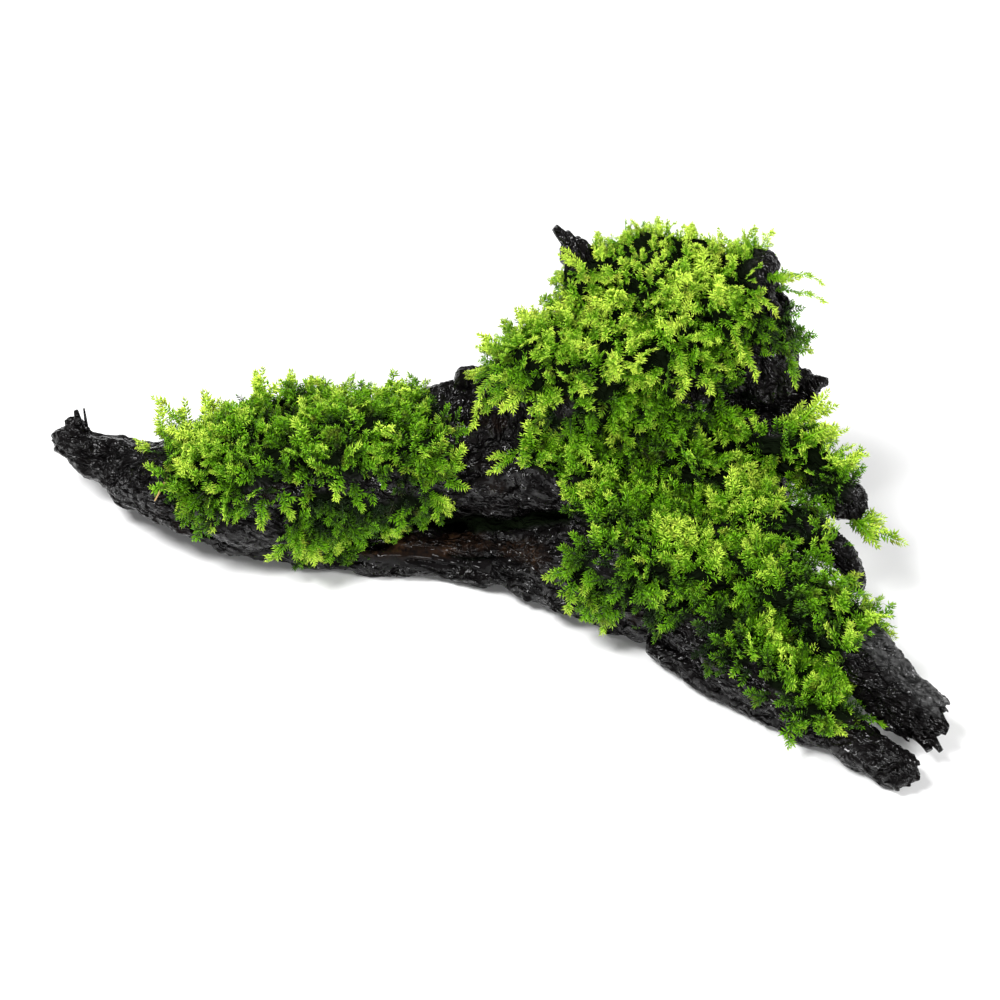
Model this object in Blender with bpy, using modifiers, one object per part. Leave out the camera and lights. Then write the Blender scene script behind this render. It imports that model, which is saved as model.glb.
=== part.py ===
"""Christmas moss growing on a piece of driftwood that lies on its flat-worn underside.

Lengths are millimetres and the scene is in metres. +X runs to the splayed root end, +Y to the back and +Z up,
with the floor at Z 0. The wood is lofted limb by limb and fused, then parted at its forks. The moss mats are
tapered tufts rooted over the wood and fused in lumpy skins.
"""

import math

import bmesh
import bpy
import numpy as np
from mathutils import Matrix, Vector
from mathutils.bvhtree import BVHTree

MM = 0.001
GAP = 0.3

# The middle of the footprint, in the layout that the tables below use.
MIDDLE = (-5.1, -9.2)

WOOD_VOXEL = 1.5
ROOT_VOXEL = 1.0
MOSS_VOXEL = 1.2
BODY_TRIANGLES = 2250
ROOT_TRIANGLES = 200
MOSS_TRIANGLES = 3100
WELD = 0.002
PLANE_TOUCH = 1e-7
SHARP_ANGLE = math.radians(40)

# Ridges and creases along each limb: how far one runs, how many fit round a limb, and how deep they go.
FLUTE_LENGTH = 24.0
FLUTE_COUNT = 2.0
FLUTE_DEPTH = 0.14
FLUTE_SEED = 3

# Lumps on a skin: how far they push it, how wide they are, and their seed.
BODY_LUMPS = (1.6, 8.0, 21)
ROOT_LUMPS = (0.8, 6.0, 33)
MOSS_LUMP_PUSH = 0.6
MOSS_LUMP_WIDTH = 5.0
SMALL_LUMPS = 0.45

# What mixes the cells of the noise lattice: a step along X, Y and Z, a step for the seed, and a scatter.
CELL_STEPS = (374761393, 668265263, 2147483029)
SEED_STEP = 144269
SCATTER = 1274126177
LOW_BITS = 0xFFFF

# The limbs of the main body. A station is x, y, z, half width across the limb, half thickness.
LEFT_BRANCH = [
    (-109.6, 42.6, 13.8, 2.4, 2.0),
    (-106.8, 41.6, 14.2, 4.0, 3.4),
    (-102.5, 40.0, 14.2, 4.8, 4.2),
    (-95.0, 37.0, 12.2, 6.2, 5.5),
    (-86.0, 31.5, 11.2, 8.6, 7.4),
    (-72.4, 24.6, 13.4, 13.4, 12.8),
    (-60.0, 22.8, 16.4, 16.8, 16.2),
    (-48.0, 22.0, 19.4, 17.6, 16.8),
    (-38.0, 21.6, 22.6, 16.4, 15.4),
    (-28.0, 21.5, 24.5, 15.2, 13.6),
    (-16.5, 22.0, 25.4, 14.8, 13.8),
    (-4.0, 21.5, 27.4, 16.0, 15.0),
    (8.0, 20.5, 29.0, 17.0, 16.4),
    (18.0, 17.0, 27.0, 17.0, 17.0),
]
BRANCH_UNDERSIDE = [
    (-54.0, 25.0, 10.5, 8.0, 7.5),
    (-38.0, 28.5, 10.0, 11.5, 10.4),
    (-18.0, 31.0, 10.5, 13.0, 11.5),
    (0.0, 30.0, 12.0, 14.0, 13.0),
    (10.0, 27.0, 13.0, 16.0, 14.0),
    (20.0, 19.0, 14.0, 22.0, 15.0),
    (32.0, 13.0, 14.0, 24.0, 15.0),
    (46.0, 6.0, 14.0, 22.0, 15.0),
]
FRONT_LEDGE = [
    (-58.0, 16.0, 7.4, 3.6, 4.6),
    (-48.0, 13.6, 6.8, 5.6, 6.2),
    (-38.0, 14.2, 5.2, 6.2, 5.2),
    (-28.0, 12.8, 4.6, 6.8, 4.8),
    (-16.5, 12.0, 4.4, 7.0, 4.6),
    (-6.0, 9.6, 4.8, 7.2, 5.0),
    (4.0, 6.0, 5.8, 7.6, 6.0),
    (12.0, 1.6, 7.4, 8.2, 7.6),
    (19.0, -3.0, 10.0, 9.0, 10.2),
    (27.0, -6.0, 10.6, 9.0, 10.8),
]
TRUNK = [
    (15.0, 12.0, 22.0, 7.0, 9.0),
    (22.0, 4.0, 18.0, 16.0, 16.0),
    (32.0, -2.0, 16.0, 20.0, 17.0),
    (44.0, -6.0, 15.6, 20.0, 15.6),
    (54.0, -11.0, 15.6, 16.0, 12.6),
    (61.0, -15.0, 16.0, 10.0, 8.4),
]
CROWN = [
    (30.0, 19.0, -3.0, 33.0, 22.0),
    (30.0, 19.0, 12.0, 37.0, 22.0),
    (30.0, 19.0, 26.0, 38.0, 20.0),
    (31.0, 22.0, 36.0, 36.0, 17.4),
    (36.0, 25.0, 45.0, 31.6, 14.6),
    (39.6, 27.4, 53.0, 26.4, 12.6),
    (41.4, 30.2, 61.0, 24.0, 10.6),
    (42.0, 32.0, 67.6, 21.6, 8.8),
    (43.0, 32.8, 71.6, 18.0, 6.4),
    (44.0, 33.0, 73.6, 12.0, 3.6),
]
CROWN_COLUMN = [
    (58.0, 22.0, 36.0, 10.0, 9.0),
    (59.6, 25.0, 48.0, 9.4, 8.6),
    (59.0, 27.4, 60.0, 7.4, 7.6),
    (58.0, 30.0, 70.0, 6.4, 6.8),
    (58.4, 31.0, 75.0, 5.6, 6.0),
]
CROWN_SPUR = [
    (26.0, 30.0, 56.0, 6.4, 6.0),
    (21.5, 31.6, 68.0, 5.0, 4.6),
    (18.0, 32.8, 75.0, 3.8, 3.4),
    (15.0, 33.5, 79.4, 2.4, 2.2),
    (13.2, 34.0, 82.0, 1.1, 1.0),
]
CROWN_SNAG = [
    (60.0, 23.0, 47.0, 8.0, 7.0),
    (68.0, 23.4, 46.8, 5.0, 5.4),
    (72.4, 24.0, 46.0, 3.2, 4.0),
    (75.4, 24.2, 46.4, 1.7, 2.0),
]
SNAG_LIP = [
    (62.0, 22.0, 39.0, 6.0, 5.6),
    (69.0, 22.8, 40.6, 3.2, 3.2),
    (72.8, 23.4, 42.2, 1.7, 1.7),
]
BARK_FLAP = [
    (8.0, 26.0, 44.6, 4.4, 4.0),
    (-2.0, 28.0, 47.2, 2.6, 2.3),
    (-6.6, 28.4, 45.8, 1.9, 1.8),
    (-8.0, 28.2, 43.0, 1.6, 1.6),
    (-7.6, 27.8, 40.0, 1.5, 1.5),
]
TIP_LUMP = [
    (-98.0, 39.0, 15.6, 3.2, 3.0),
    (-102.6, 41.0, 17.8, 2.6, 2.4),
    (-105.0, 42.4, 19.2, 1.5, 1.5),
]
MAIN_BODY = [
    LEFT_BRANCH,
    BRANCH_UNDERSIDE,
    FRONT_LEDGE,
    TRUNK,
    CROWN_SNAG,
    SNAG_LIP,
    BARK_FLAP,
    TIP_LUMP,
]
UPRIGHT_BODY = [CROWN, CROWN_COLUMN, CROWN_SPUR]

# The splayed roots at the right end, each a piece of its own.
UPPER_ROOT = [
    (50.0, 17.0, 34.0, 7.0, 7.0),
    (60.0, 17.0, 34.4, 6.2, 6.0),
    (67.5, 14.2, 33.4, 5.0, 4.8),
    (73.0, 10.0, 31.2, 4.2, 4.0),
    (78.4, 5.0, 28.6, 3.6, 3.4),
    (81.6, 1.6, 26.8, 3.2, 3.0),
    (83.0, 0.0, 26.0, 2.0, 2.0),
]
MIDDLE_ROOT = [
    (54.0, -1.0, 25.0, 7.0, 6.6),
    (64.0, -4.6, 26.4, 5.0, 4.8),
    (71.0, -8.2, 25.6, 3.7, 3.5),
    (76.2, -10.4, 23.4, 3.1, 2.9),
    (79.4, -12.2, 20.2, 2.8, 2.6),
    (81.2, -14.6, 17.0, 2.4, 2.3),
    (81.6, -16.2, 15.2, 1.5, 1.4),
]
UPPER_PRONG = [
    (46.0, -10.0, 17.0, 10.0, 9.4),
    (58.0, -18.0, 18.4, 9.6, 8.8),
    (67.0, -26.0, 17.6, 8.6, 7.8),
    (76.0, -34.6, 15.8, 7.4, 6.6),
    (84.0, -41.8, 13.0, 6.4, 5.4),
    (91.0, -47.4, 10.2, 6.0, 4.8),
    (95.0, -50.4, 8.6, 6.0, 4.4),
    (96.4, -51.6, 8.0, 4.6, 3.2),
]
LOWER_PRONG = [
    (38.0, -12.0, 12.0, 9.0, 9.0),
    (47.0, -22.6, 12.0, 8.8, 8.8),
    (56.0, -32.6, 10.6, 7.6, 7.6),
    (64.0, -40.8, 8.6, 6.2, 6.2),
    (72.0, -48.2, 6.6, 5.2, 5.0),
    (79.5, -54.8, 5.2, 4.4, 4.2),
    (85.6, -59.8, 4.4, 3.9, 3.7),
    (88.4, -62.2, 4.2, 3.4, 3.3),
    (89.6, -63.2, 4.2, 2.2, 2.2),
]
FRONT_SPLINTER = [
    (34.6, -20.4, 4.6, 0.9, 0.9),
    (38.0, -24.0, 4.2, 2.2, 2.3),
    (45.4, -30.2, 3.6, 2.6, 2.8),
    (51.6, -35.0, 3.4, 2.6, 2.7),
    (57.0, -39.4, 3.1, 2.2, 2.3),
    (64.0, -45.0, 2.8, 2.1, 2.1),
    (70.8, -50.6, 2.4, 0.9, 0.9),
]
ROOTS = {
    "upper_prong": UPPER_PRONG,
    "lower_prong": LOWER_PRONG,
    "middle_root": MIDDLE_ROOT,
    "upper_root": UPPER_ROOT,
    "front_splinter": FRONT_SPLINTER,
}

# Upright fibres on the broken left tip: foot, top, radius.
TIP_FIBRES = [
    ((-103.2, 41.2, 16.5), (-103.9, 42.6, 22.8), 0.8),
    ((-101.8, 40.6, 16.0), (-102.2, 42.2, 23.2), 0.6),
]

FIBRE_SIDES = 5

# Torn fibres standing on from the end of the upper prong: foot, top, radius.
PRONG_FIBRES = [
    ((92.4, -51.0, 6.6), (94.4, -56.0, 5.0), 2.2),
    ((93.6, -51.4, 7.0), (97.0, -56.2, 5.0), 1.6),
    ((94.6, -50.4, 8.2), (98.6, -52.6, 7.4), 2.4),
    ((94.0, -48.4, 10.0), (98.4, -47.6, 9.6), 2.4),
]

# Hollows carved in the skin of the body: points along it, half width, depth.
UNDERCUT = ((-44.0, 8.6, 12.4), (-28.0, 10.6, 12.4), (-12.0, 12.6, 12.2), (3.0, 12.6, 12.0), (18.0, 9.6, 13.0))
HOLLOWS = [
    (UNDERCUT, 3.6, 6.6),
    (((57.0, 13.0, 43.0), (62.0, 16.0, 41.0)), 5.0, 4.6),
    (((66.0, 18.0, 44.0), (70.0, 22.0, 43.4)), 3.4, 2.6),
    (((12.0, 11.0, 41.0), (16.0, 9.0, 36.0)), 6.0, 3.6),
    (((2.0, 12.0, 38.0), (-8.0, 12.0, 30.0)), 4.6, 2.0),
    (((46.0, 20.0, 68.0), (49.0, 16.0, 52.0), (50.0, 12.0, 44.0)), 3.6, 2.4),
    (((33.0, 20.0, 66.0), (30.0, 14.0, 50.0), (24.0, 6.0, 40.0)), 4.4, 2.6),
    (((60.0, 36.0, 66.0), (62.0, 38.0, 40.0), (52.0, 40.0, 14.0)), 5.0, 3.0),
    (((36.0, 42.0, 64.0), (34.0, 42.0, 44.0), (20.0, 42.0, 16.0)), 5.0, 3.0),
    (((16.0, 42.0, 40.0), (-10.0, 38.0, 34.0), (-40.0, 36.0, 30.0)), 5.0, 2.6),
    (((-98.5, 39.5, 19.0), (-99.5, 37.5, 16.5)), 2.2, 2.0),
    (((-50.0, 8.0, 10.0), (-68.0, 13.0, 8.0), (-86.0, 25.0, 7.0)), 3.0, 1.8),
    (((22.0, -12.0, 20.0), (36.0, -18.0, 14.0), (46.0, -24.0, 12.0)), 3.4, 2.0),
]

# Where the main body parts: the left fork, and the crown above the trunk.
LEFT_FORK_X = -16.0
CROWN_FORK_Z = 40.0

# Moss cover: centre and half sizes of the rounded regions of wood that carry moss.
LEFT_COVER = [
    ((-60.0, 24.0, 26.0), (26.0, 24.0, 17.0)),
    ((-38.0, 23.0, 32.0), (19.0, 20.0, 16.0)),
    ((-20.0, 12.0, 30.0), (15.0, 9.0, 11.0)),
]
MAIN_COVER = [
    ((35.0, 26.0, 66.0), (23.0, 20.0, 22.0)),
    ((20.0, 20.0, 50.0), (24.0, 16.0, 13.0)),
    ((12.0, 6.0, 40.0), (10.0, 10.0, 10.0)),
    ((36.0, -2.0, 32.0), (21.0, 20.0, 18.0)),
    ((40.0, -20.0, 20.0), (20.0, 13.0, 12.0)),
    ((60.0, 4.0, 36.0), (24.0, 18.0, 14.0)),
    ((64.0, -22.0, 22.0), (20.0, 16.0, 14.0)),
    ((54.0, -34.0, 16.0), (10.0, 9.0, 9.0)),
]
PRONG_COVER = [
    ((66.0, -42.0, 13.0), (8.0, 8.0, 8.0)),
    ((75.0, -50.0, 9.6), (8.5, 8.5, 6.0)),
]
TUFT_SPACING = 5.2
TUFT_LENGTH = (5.5, 10.5)
TUFT_FOOT_RADIUS = 3.6
TUFT_TIP_RADIUS = 0.9
TUFT_TRIES = 9000

# A tuft's lean off the skin's normal, mostly up and a little forward, and how much chance adds to it.
TUFT_LEAN = np.array((-0.4, -0.48, 0.3))
TUFT_SCATTER = np.array((0.8, 0.8, 0.5))
MAT_DEPTH = 2.2
UNDERSIDE_LIMIT = -0.15
LEFT_SEED = 7
MAIN_SEED = 11
PRONG_SEED = 5

# Single long sprays that stand out of the mats: foot, tip, foot radius.
LEFT_SPRAYS = [
    ((-81.0, 33.0, 17.0), (-85.6, 37.4, 25.0), 2.6),
    ((-78.0, 33.0, 20.0), (-81.0, 38.0, 27.0), 2.4),
    ((-70.0, 31.0, 24.0), (-72.0, 36.6, 32.0), 3.0),
    ((-57.0, 31.0, 30.0), (-57.4, 37.0, 39.0), 3.4),
    ((-48.0, 30.0, 33.0), (-48.6, 35.6, 41.0), 2.8),
    ((-50.0, 8.0, 16.0), (-46.0, 3.0, 5.0), 3.4),
    ((-66.0, 12.0, 14.0), (-64.0, 6.0, 10.0), 3.0),
    ((-18.0, 12.0, 33.0), (-12.0, 7.0, 31.0), 2.8),
]
MAIN_SPRAYS = [
    ((4.0, 25.0, 50.0), (-4.4, 24.0, 57.0), 3.2),
    ((2.0, 24.0, 47.0), (-5.4, 23.0, 50.0), 3.0),
    ((10.0, 27.0, 56.0), (3.4, 27.0, 63.6), 3.2),
    ((33.0, 34.0, 72.0), (33.0, 37.0, 79.6), 3.6),
    ((43.0, 34.0, 73.0), (44.0, 37.0, 80.6), 3.4),
    ((62.0, 28.0, 70.0), (71.0, 25.0, 71.0), 1.8),
    ((71.0, 25.0, 71.0), (76.6, 21.0, 67.0), 1.4),
    ((66.0, 15.0, 38.0), (77.0, 15.0, 47.0), 3.6),
    ((76.0, 8.0, 32.0), (83.0, 6.0, 37.6), 3.0),
    ((80.0, 1.0, 28.0), (91.0, -6.0, 24.0), 1.9),
    ((84.0, -34.0, 18.0), (90.0, -32.0, 17.4), 2.4),
    ((1.0, 17.0, 42.0), (-3.0, 10.0, 35.0), 2.0),
]
PRONG_SPRAYS = [
    ((78.0, -53.0, 8.0), (84.0, -58.0, 10.0), 2.4),
    ((72.0, -50.0, 9.0), (76.0, -56.0, 9.0), 2.4),
]

# Each stretch of moss that is grown in one: its cover, sprays, seed and share of the triangles.
MATS = [
    ("left", LEFT_COVER, LEFT_SPRAYS, LEFT_SEED, 0.27),
    ("main", MAIN_COVER, MAIN_SPRAYS, MAIN_SEED, 0.65),
    ("prong", PRONG_COVER, PRONG_SPRAYS, PRONG_SEED, 0.08),
]

# Where the main mat parts: off the left branch, crown from saddle, saddle from roots, prong from prong.
MAT_LEFT_X = -7.0
MAT_CROWN_Z = 46.0
MAT_ROOTS_X = 56.0
PRONG_SLOT = (74.0, -41.0, 0.0)
PRONG_SLOT_NORMAL = (0.69, 0.72, 0.0)
PRONG_SLOT_GAP = 1.6

BARK_COLOUR = (0.020, 0.015, 0.013, 1.0)
BARK_ROUGHNESS = 0.35
MOSS_COLOUR = (0.145, 0.330, 0.020, 1.0)
MOSS_ROUGHNESS = 0.55


def start_clean():
    for old in list(bpy.data.objects):
        bpy.data.objects.remove(old)


def new_collection(name):
    made = bpy.data.collections.new(name)
    bpy.context.scene.collection.children.link(made)
    return made


def finish(name, colour, roughness):
    made = bpy.data.materials.new(name)
    made.use_nodes = True
    shader = made.node_tree.nodes["Principled BSDF"]
    shader.inputs["Base Color"].default_value = colour
    shader.inputs["Roughness"].default_value = roughness
    shader.inputs["Metallic"].default_value = 0.0
    made.diffuse_color = colour
    return made


def value_noise(points, seed):
    """Smooth noise from -1 to 1 at each point, one lattice cell to a unit of length."""
    cell = np.floor(points).astype(np.int64)
    part = points - cell
    fade = part * part * (3.0 - 2.0 * part)
    total = np.zeros(len(points))
    for corner in np.ndindex(2, 2, 2):
        mixed = (cell + np.array(corner)) @ np.array(CELL_STEPS) + seed * SEED_STEP
        mixed = (mixed ^ (mixed >> 13)) * SCATTER
        value = ((mixed ^ (mixed >> 16)) & LOW_BITS) * (2.0 / LOW_BITS) - 1.0
        weight = np.prod(np.where(corner, fade, 1.0 - fade), axis=1)
        total += value * weight
    return total


def through(stations, per_span):
    """Catmull-Rom curve through the stations, per_span rings to each span."""
    known = np.array(stations, float)
    padded = np.vstack([2 * known[0] - known[1], known, 2 * known[-1] - known[-2]])
    rows = []
    for i in range(1, len(padded) - 2):
        for t in np.arange(per_span) / per_span:
            before, start, end, after = padded[i - 1 : i + 3]
            rows.append(
                0.5
                * (
                    2 * start
                    + (end - before) * t
                    + (2 * before - 5 * start + 4 * end - after) * t * t
                    + (3 * start - before - 3 * end + after) * t**3
                )
            )
    rows.append(padded[-2])
    return np.array(rows)


def limb_mesh(stations, upright=False, per_span=4, sides=32):
    """A loft along the stations: oval rings, ridged along the grain, with a point at each end."""
    rings = through(stations, per_span)
    centre, wide, thick = rings[:, :3], rings[:, 3], rings[:, 4]
    along = np.gradient(centre, axis=0)
    along /= np.linalg.norm(along, axis=1)[:, None]
    hint = np.array([0.0, 1.0, 0.0] if upright else [0.0, 0.0, 1.0])
    across = np.cross(hint, along)
    across /= np.linalg.norm(across, axis=1)[:, None]
    over = np.cross(along, across)
    angle = 2 * math.pi * np.arange(sides) / sides
    run = np.concatenate([[0], np.cumsum(np.linalg.norm(np.diff(centre, axis=0), axis=1))])
    turned = FLUTE_COUNT * np.cos(angle), FLUTE_COUNT * np.sin(angle)
    flute = np.stack(np.broadcast_arrays(run[:, None] / FLUTE_LENGTH, *turned), axis=-1)
    crease = np.abs(value_noise(flute.reshape(-1, 3) + centre[0], FLUTE_SEED)).reshape(len(run), sides)
    swell = 1.0 + FLUTE_DEPTH * (0.5 - 2.0 * crease)
    points = (
        centre[:, None]
        + (swell * np.cos(angle) * wide[:, None])[..., None] * across[:, None]
        + (swell * np.sin(angle) * thick[:, None])[..., None] * over[:, None]
    )
    first = centre[0] - along[0] * wide[0] * 0.5
    last = centre[-1] + along[-1] * wide[-1] * 0.5
    corners = np.vstack([points.reshape(-1, 3), first, last]) * MM
    faces = []
    for ring in range(len(run) - 1):
        for side in range(sides):
            beside = (side + 1) % sides
            low, high = ring * sides, (ring + 1) * sides
            faces.append((low + side, low + beside, high + beside, high + side))
    top = (len(run) - 1) * sides
    for side in range(sides):
        beside = (side + 1) % sides
        faces.append((len(corners) - 2, beside, side))
        faces.append((len(corners) - 1, top + side, top + beside))
    mesh = bpy.data.meshes.new("limb")
    mesh.from_pydata(corners.tolist(), [], faces)
    return outward(mesh)


def outward(mesh):
    work = bmesh.new()
    work.from_mesh(mesh)
    bmesh.ops.recalc_face_normals(work, faces=work.faces)
    work.to_mesh(mesh)
    work.free()
    return mesh


def cone_mesh(foot, tip, base_radius, tip_radius, segments=7):
    """A tapered peg from foot to tip, in millimetres, its foot sunk by its own base radius."""
    foot, tip = Vector(foot), Vector(tip)
    axis = (tip - foot).normalized()
    foot = foot - axis * base_radius
    work = bmesh.new()
    made = bmesh.ops.create_cone(
        work,
        cap_ends=True,
        segments=segments,
        radius1=base_radius * MM,
        radius2=tip_radius * MM,
        depth=(tip - foot).length * MM,
    )
    turn = axis.to_track_quat("Z", "Y").to_matrix()
    bmesh.ops.rotate(work, verts=made["verts"], matrix=turn)
    bmesh.ops.translate(work, verts=made["verts"], vec=(foot + tip) * 0.5 * MM)
    mesh = bpy.data.meshes.new("peg")
    work.to_mesh(mesh)
    work.free()
    return mesh


def joined(meshes, name):
    """One mesh holding all of these, still as separate shells."""
    work = bmesh.new()
    for mesh in meshes:
        work.from_mesh(mesh)
    made = bpy.data.meshes.new(name)
    work.to_mesh(made)
    work.free()
    return made


def shaped(mesh, steps):
    """The mesh after these modifiers, each a type and its settings."""
    holder = bpy.data.objects.new("holder", mesh)
    bpy.context.scene.collection.objects.link(holder)
    for kind, settings in steps:
        modifier = holder.modifiers.new(kind, kind)
        for key, value in settings.items():
            setattr(modifier, key, value)
    bpy.context.view_layer.update()
    graph = bpy.context.evaluated_depsgraph_get()
    made = bpy.data.meshes.new_from_object(holder.evaluated_get(graph))
    bpy.data.objects.remove(holder)
    return made


def fused(mesh, voxel, smoothing):
    """Overlapping shells made one skin on a voxel grid, then eased."""
    remesh = ("REMESH", {"mode": "VOXEL", "voxel_size": voxel * MM})
    ease = ("SMOOTH", {"factor": 0.5, "iterations": smoothing})
    return shaped(mesh, [remesh, ease])


def skin_arrays(mesh):
    """The mesh's points in millimetres, and its normals."""
    points = np.empty(len(mesh.vertices) * 3)
    normals = np.empty(len(mesh.vertices) * 3)
    mesh.vertices.foreach_get("co", points)
    mesh.vertices.foreach_get("normal", normals)
    return points.reshape(-1, 3) / MM, normals.reshape(-1, 3)


def moved(mesh, points):
    mesh.vertices.foreach_set("co", (points * MM).ravel())
    mesh.update()
    return mesh


def surface(mesh):
    """A search tree over the mesh, in millimetres."""
    return BVHTree.FromPolygons([v.co / MM for v in mesh.vertices], [tuple(p.vertices) for p in mesh.polygons])


def roughened(mesh, push, width, seed):
    """Lumps and pits pushed along the vertex normals."""
    points, normals = skin_arrays(mesh)
    lumps = value_noise(points / width, seed) + 0.5 * value_noise(points / (SMALL_LUMPS * width), seed + 1)
    return moved(mesh, points + normals * (lumps * push)[:, None])


def carved(mesh, hollows):
    """Hollows pressed into the skin, deepest along each hollow's line laid on the skin."""
    tree = surface(mesh)
    points, normals = skin_arrays(mesh)
    press = np.zeros(len(points))
    for line, half_width, depth in hollows:
        laid = [np.array(tree.find_nearest(Vector(point))[0]) for point in line]
        away = np.full(len(points), np.inf)
        for start, end in zip(laid, laid[1:]):
            run = end - start
            share = np.clip((points - start) @ run / (run @ run), 0.0, 1.0)
            away = np.minimum(away, np.linalg.norm(points - start - share[:, None] * run, axis=1))
        press = np.maximum(press, depth * np.clip(1.0 - (away / half_width) ** 2, 0.0, 1.0) ** 2)
    return moved(mesh, points - normals * press[:, None])


def thinned(mesh, triangles):
    mesh.calc_loop_triangles()
    ratio = min(1.0, triangles / len(mesh.loop_triangles))
    return shaped(mesh, [("DECIMATE", {"ratio": ratio, "use_collapse_triangulate": True})])


def keep_largest_shell(work):
    """Deletes every island of the bmesh but the one with the most faces."""
    left = set(work.faces)
    islands = []
    while left:
        stack = [left.pop()]
        island = set(stack)
        while stack:
            for edge in stack.pop().edges:
                beyond = [face for face in edge.link_faces if face in left]
                left.difference_update(beyond)
                island.update(beyond)
                stack.extend(beyond)
        islands.append(island)
    islands.sort(key=len)
    for island in islands[:-1]:
        bmesh.ops.delete(work, geom=list(island), context="FACES")


def cut(mesh, point, normal):
    """The part of the mesh behind the plane, closed where it was cut."""
    work = bmesh.new()
    work.from_mesh(mesh)
    bmesh.ops.bisect_plane(
        work,
        geom=work.verts[:] + work.edges[:] + work.faces[:],
        dist=PLANE_TOUCH,
        plane_co=Vector(point) * MM,
        plane_no=Vector(normal),
        clear_outer=True,
    )
    bmesh.ops.holes_fill(work, edges=[edge for edge in work.edges if edge.is_boundary], sides=0)
    keep_largest_shell(work)
    bmesh.ops.triangulate(work, faces=work.faces)
    bmesh.ops.recalc_face_normals(work, faces=work.faces)
    made = bpy.data.meshes.new("cut")
    work.to_mesh(made)
    work.free()
    return made


def parted(mesh, point, normal, gap=GAP):
    """The halves behind and before a plane, a gap apart."""
    normal = Vector(normal).normalized()
    behind = cut(mesh, Vector(point) - normal * gap / 2, normal)
    before = cut(mesh, Vector(point) + normal * gap / 2, -normal)
    return behind, before


def booled(mesh, others, operation):
    """The mesh with each other mesh taken out of it or joined to it, its largest piece kept."""
    holder = bpy.data.objects.new("holder", mesh)
    bpy.context.scene.collection.objects.link(holder)
    tools = []
    for other in others:
        tool = bpy.data.objects.new("tool", other)
        bpy.context.scene.collection.objects.link(tool)
        modifier = holder.modifiers.new("bool", "BOOLEAN")
        modifier.operation = operation
        modifier.object = tool
        tools.append(tool)
    bpy.context.view_layer.update()
    graph = bpy.context.evaluated_depsgraph_get()
    made = bpy.data.meshes.new_from_object(holder.evaluated_get(graph))
    for old in [holder, *tools]:
        bpy.data.objects.remove(old)
    work = bmesh.new()
    work.from_mesh(made)
    bmesh.ops.remove_doubles(work, verts=work.verts, dist=WELD * MM)
    keep_largest_shell(work)
    bmesh.ops.triangulate(work, faces=work.faces)
    work.to_mesh(made)
    work.free()
    return made


def grown(mesh):
    """The mesh swollen by the gap that touching pieces keep."""
    return shaped(mesh, [("DISPLACE", {"strength": GAP * MM, "mid_level": 0.0})])


def main_body():
    """Branch, trunk, ledge and crown fused in one skin, flat where it rests."""
    limbs = [limb_mesh(stations) for stations in MAIN_BODY]
    limbs += [limb_mesh(stations, upright=True) for stations in UPRIGHT_BODY]
    skin = fused(joined(limbs, "body"), WOOD_VOXEL, 1)
    skin = fused(carved(roughened(skin, *BODY_LUMPS), HOLLOWS), WOOD_VOXEL, 1)
    return cut(thinned(skin, BODY_TRIANGLES), (0, 0, 0), (0, 0, -1))


def root_skin(stations):
    """One root as it grows on into the trunk."""
    skin = fused(limb_mesh(stations), ROOT_VOXEL, 1)
    return cut(thinned(roughened(skin, *ROOT_LUMPS), ROOT_TRIANGLES), (0, 0, 0), (0, 0, -1))


def with_fibres(mesh, fibres):
    """The mesh with torn fibres standing on from a broken end."""
    pegs = [cone_mesh(foot, tip, radius, radius / 2, FIBRE_SIDES) for foot, tip, radius in fibres]
    return booled(mesh, pegs, "UNION")


def wood_pieces():
    """Each wood piece by name, and the whole wood's skin: the body parted, the roots fitted round it."""
    body = main_body()
    left, rest = parted(body, (LEFT_FORK_X, 0, 0), (1, 0, 0))
    trunk, crown = parted(rest, (0, 0, CROWN_FORK_Z), (0, 0, 1))
    pieces = {"left_branch": left, "trunk": trunk, "crown_stump": crown}
    whole = [body]
    earlier = [grown(body)]
    for name, stations in ROOTS.items():
        root = root_skin(stations)
        whole.append(root)
        pieces[name] = booled(root, earlier, "DIFFERENCE")
        earlier.append(grown(root))
    pieces["left_branch"] = with_fibres(pieces["left_branch"], TIP_FIBRES)
    pieces["upper_prong"] = with_fibres(pieces["upper_prong"], PRONG_FIBRES)
    return pieces, fused(joined(whole, "whole"), WOOD_VOXEL, 0), earlier


def in_cover(spots, cover):
    """Which spots lie inside any of the cover's rounded regions."""
    inside = np.zeros(len(spots), bool)
    for centre, half in cover:
        inside |= (((spots - centre) / half) ** 2).sum(axis=1) < 1.0
    return inside


def mat_slab(skin, cover):
    """The covered stretch of the skin as a closed slab, the mat that the tufts stand in."""
    work = bmesh.new()
    work.from_mesh(skin)
    centres = np.array([face.calc_center_median() for face in work.faces]) / MM
    tilted = np.array([face.normal.z for face in work.faces]) > UNDERSIDE_LIMIT
    bare = ~(in_cover(centres, cover) & tilted)
    bmesh.ops.delete(work, geom=[face for face, off in zip(work.faces, bare) if off], context="FACES")
    made = bpy.data.meshes.new("slab")
    work.to_mesh(made)
    work.free()
    return shaped(made, [("SOLIDIFY", {"thickness": 2 * MAT_DEPTH * MM, "offset": 0.0})])


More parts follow.
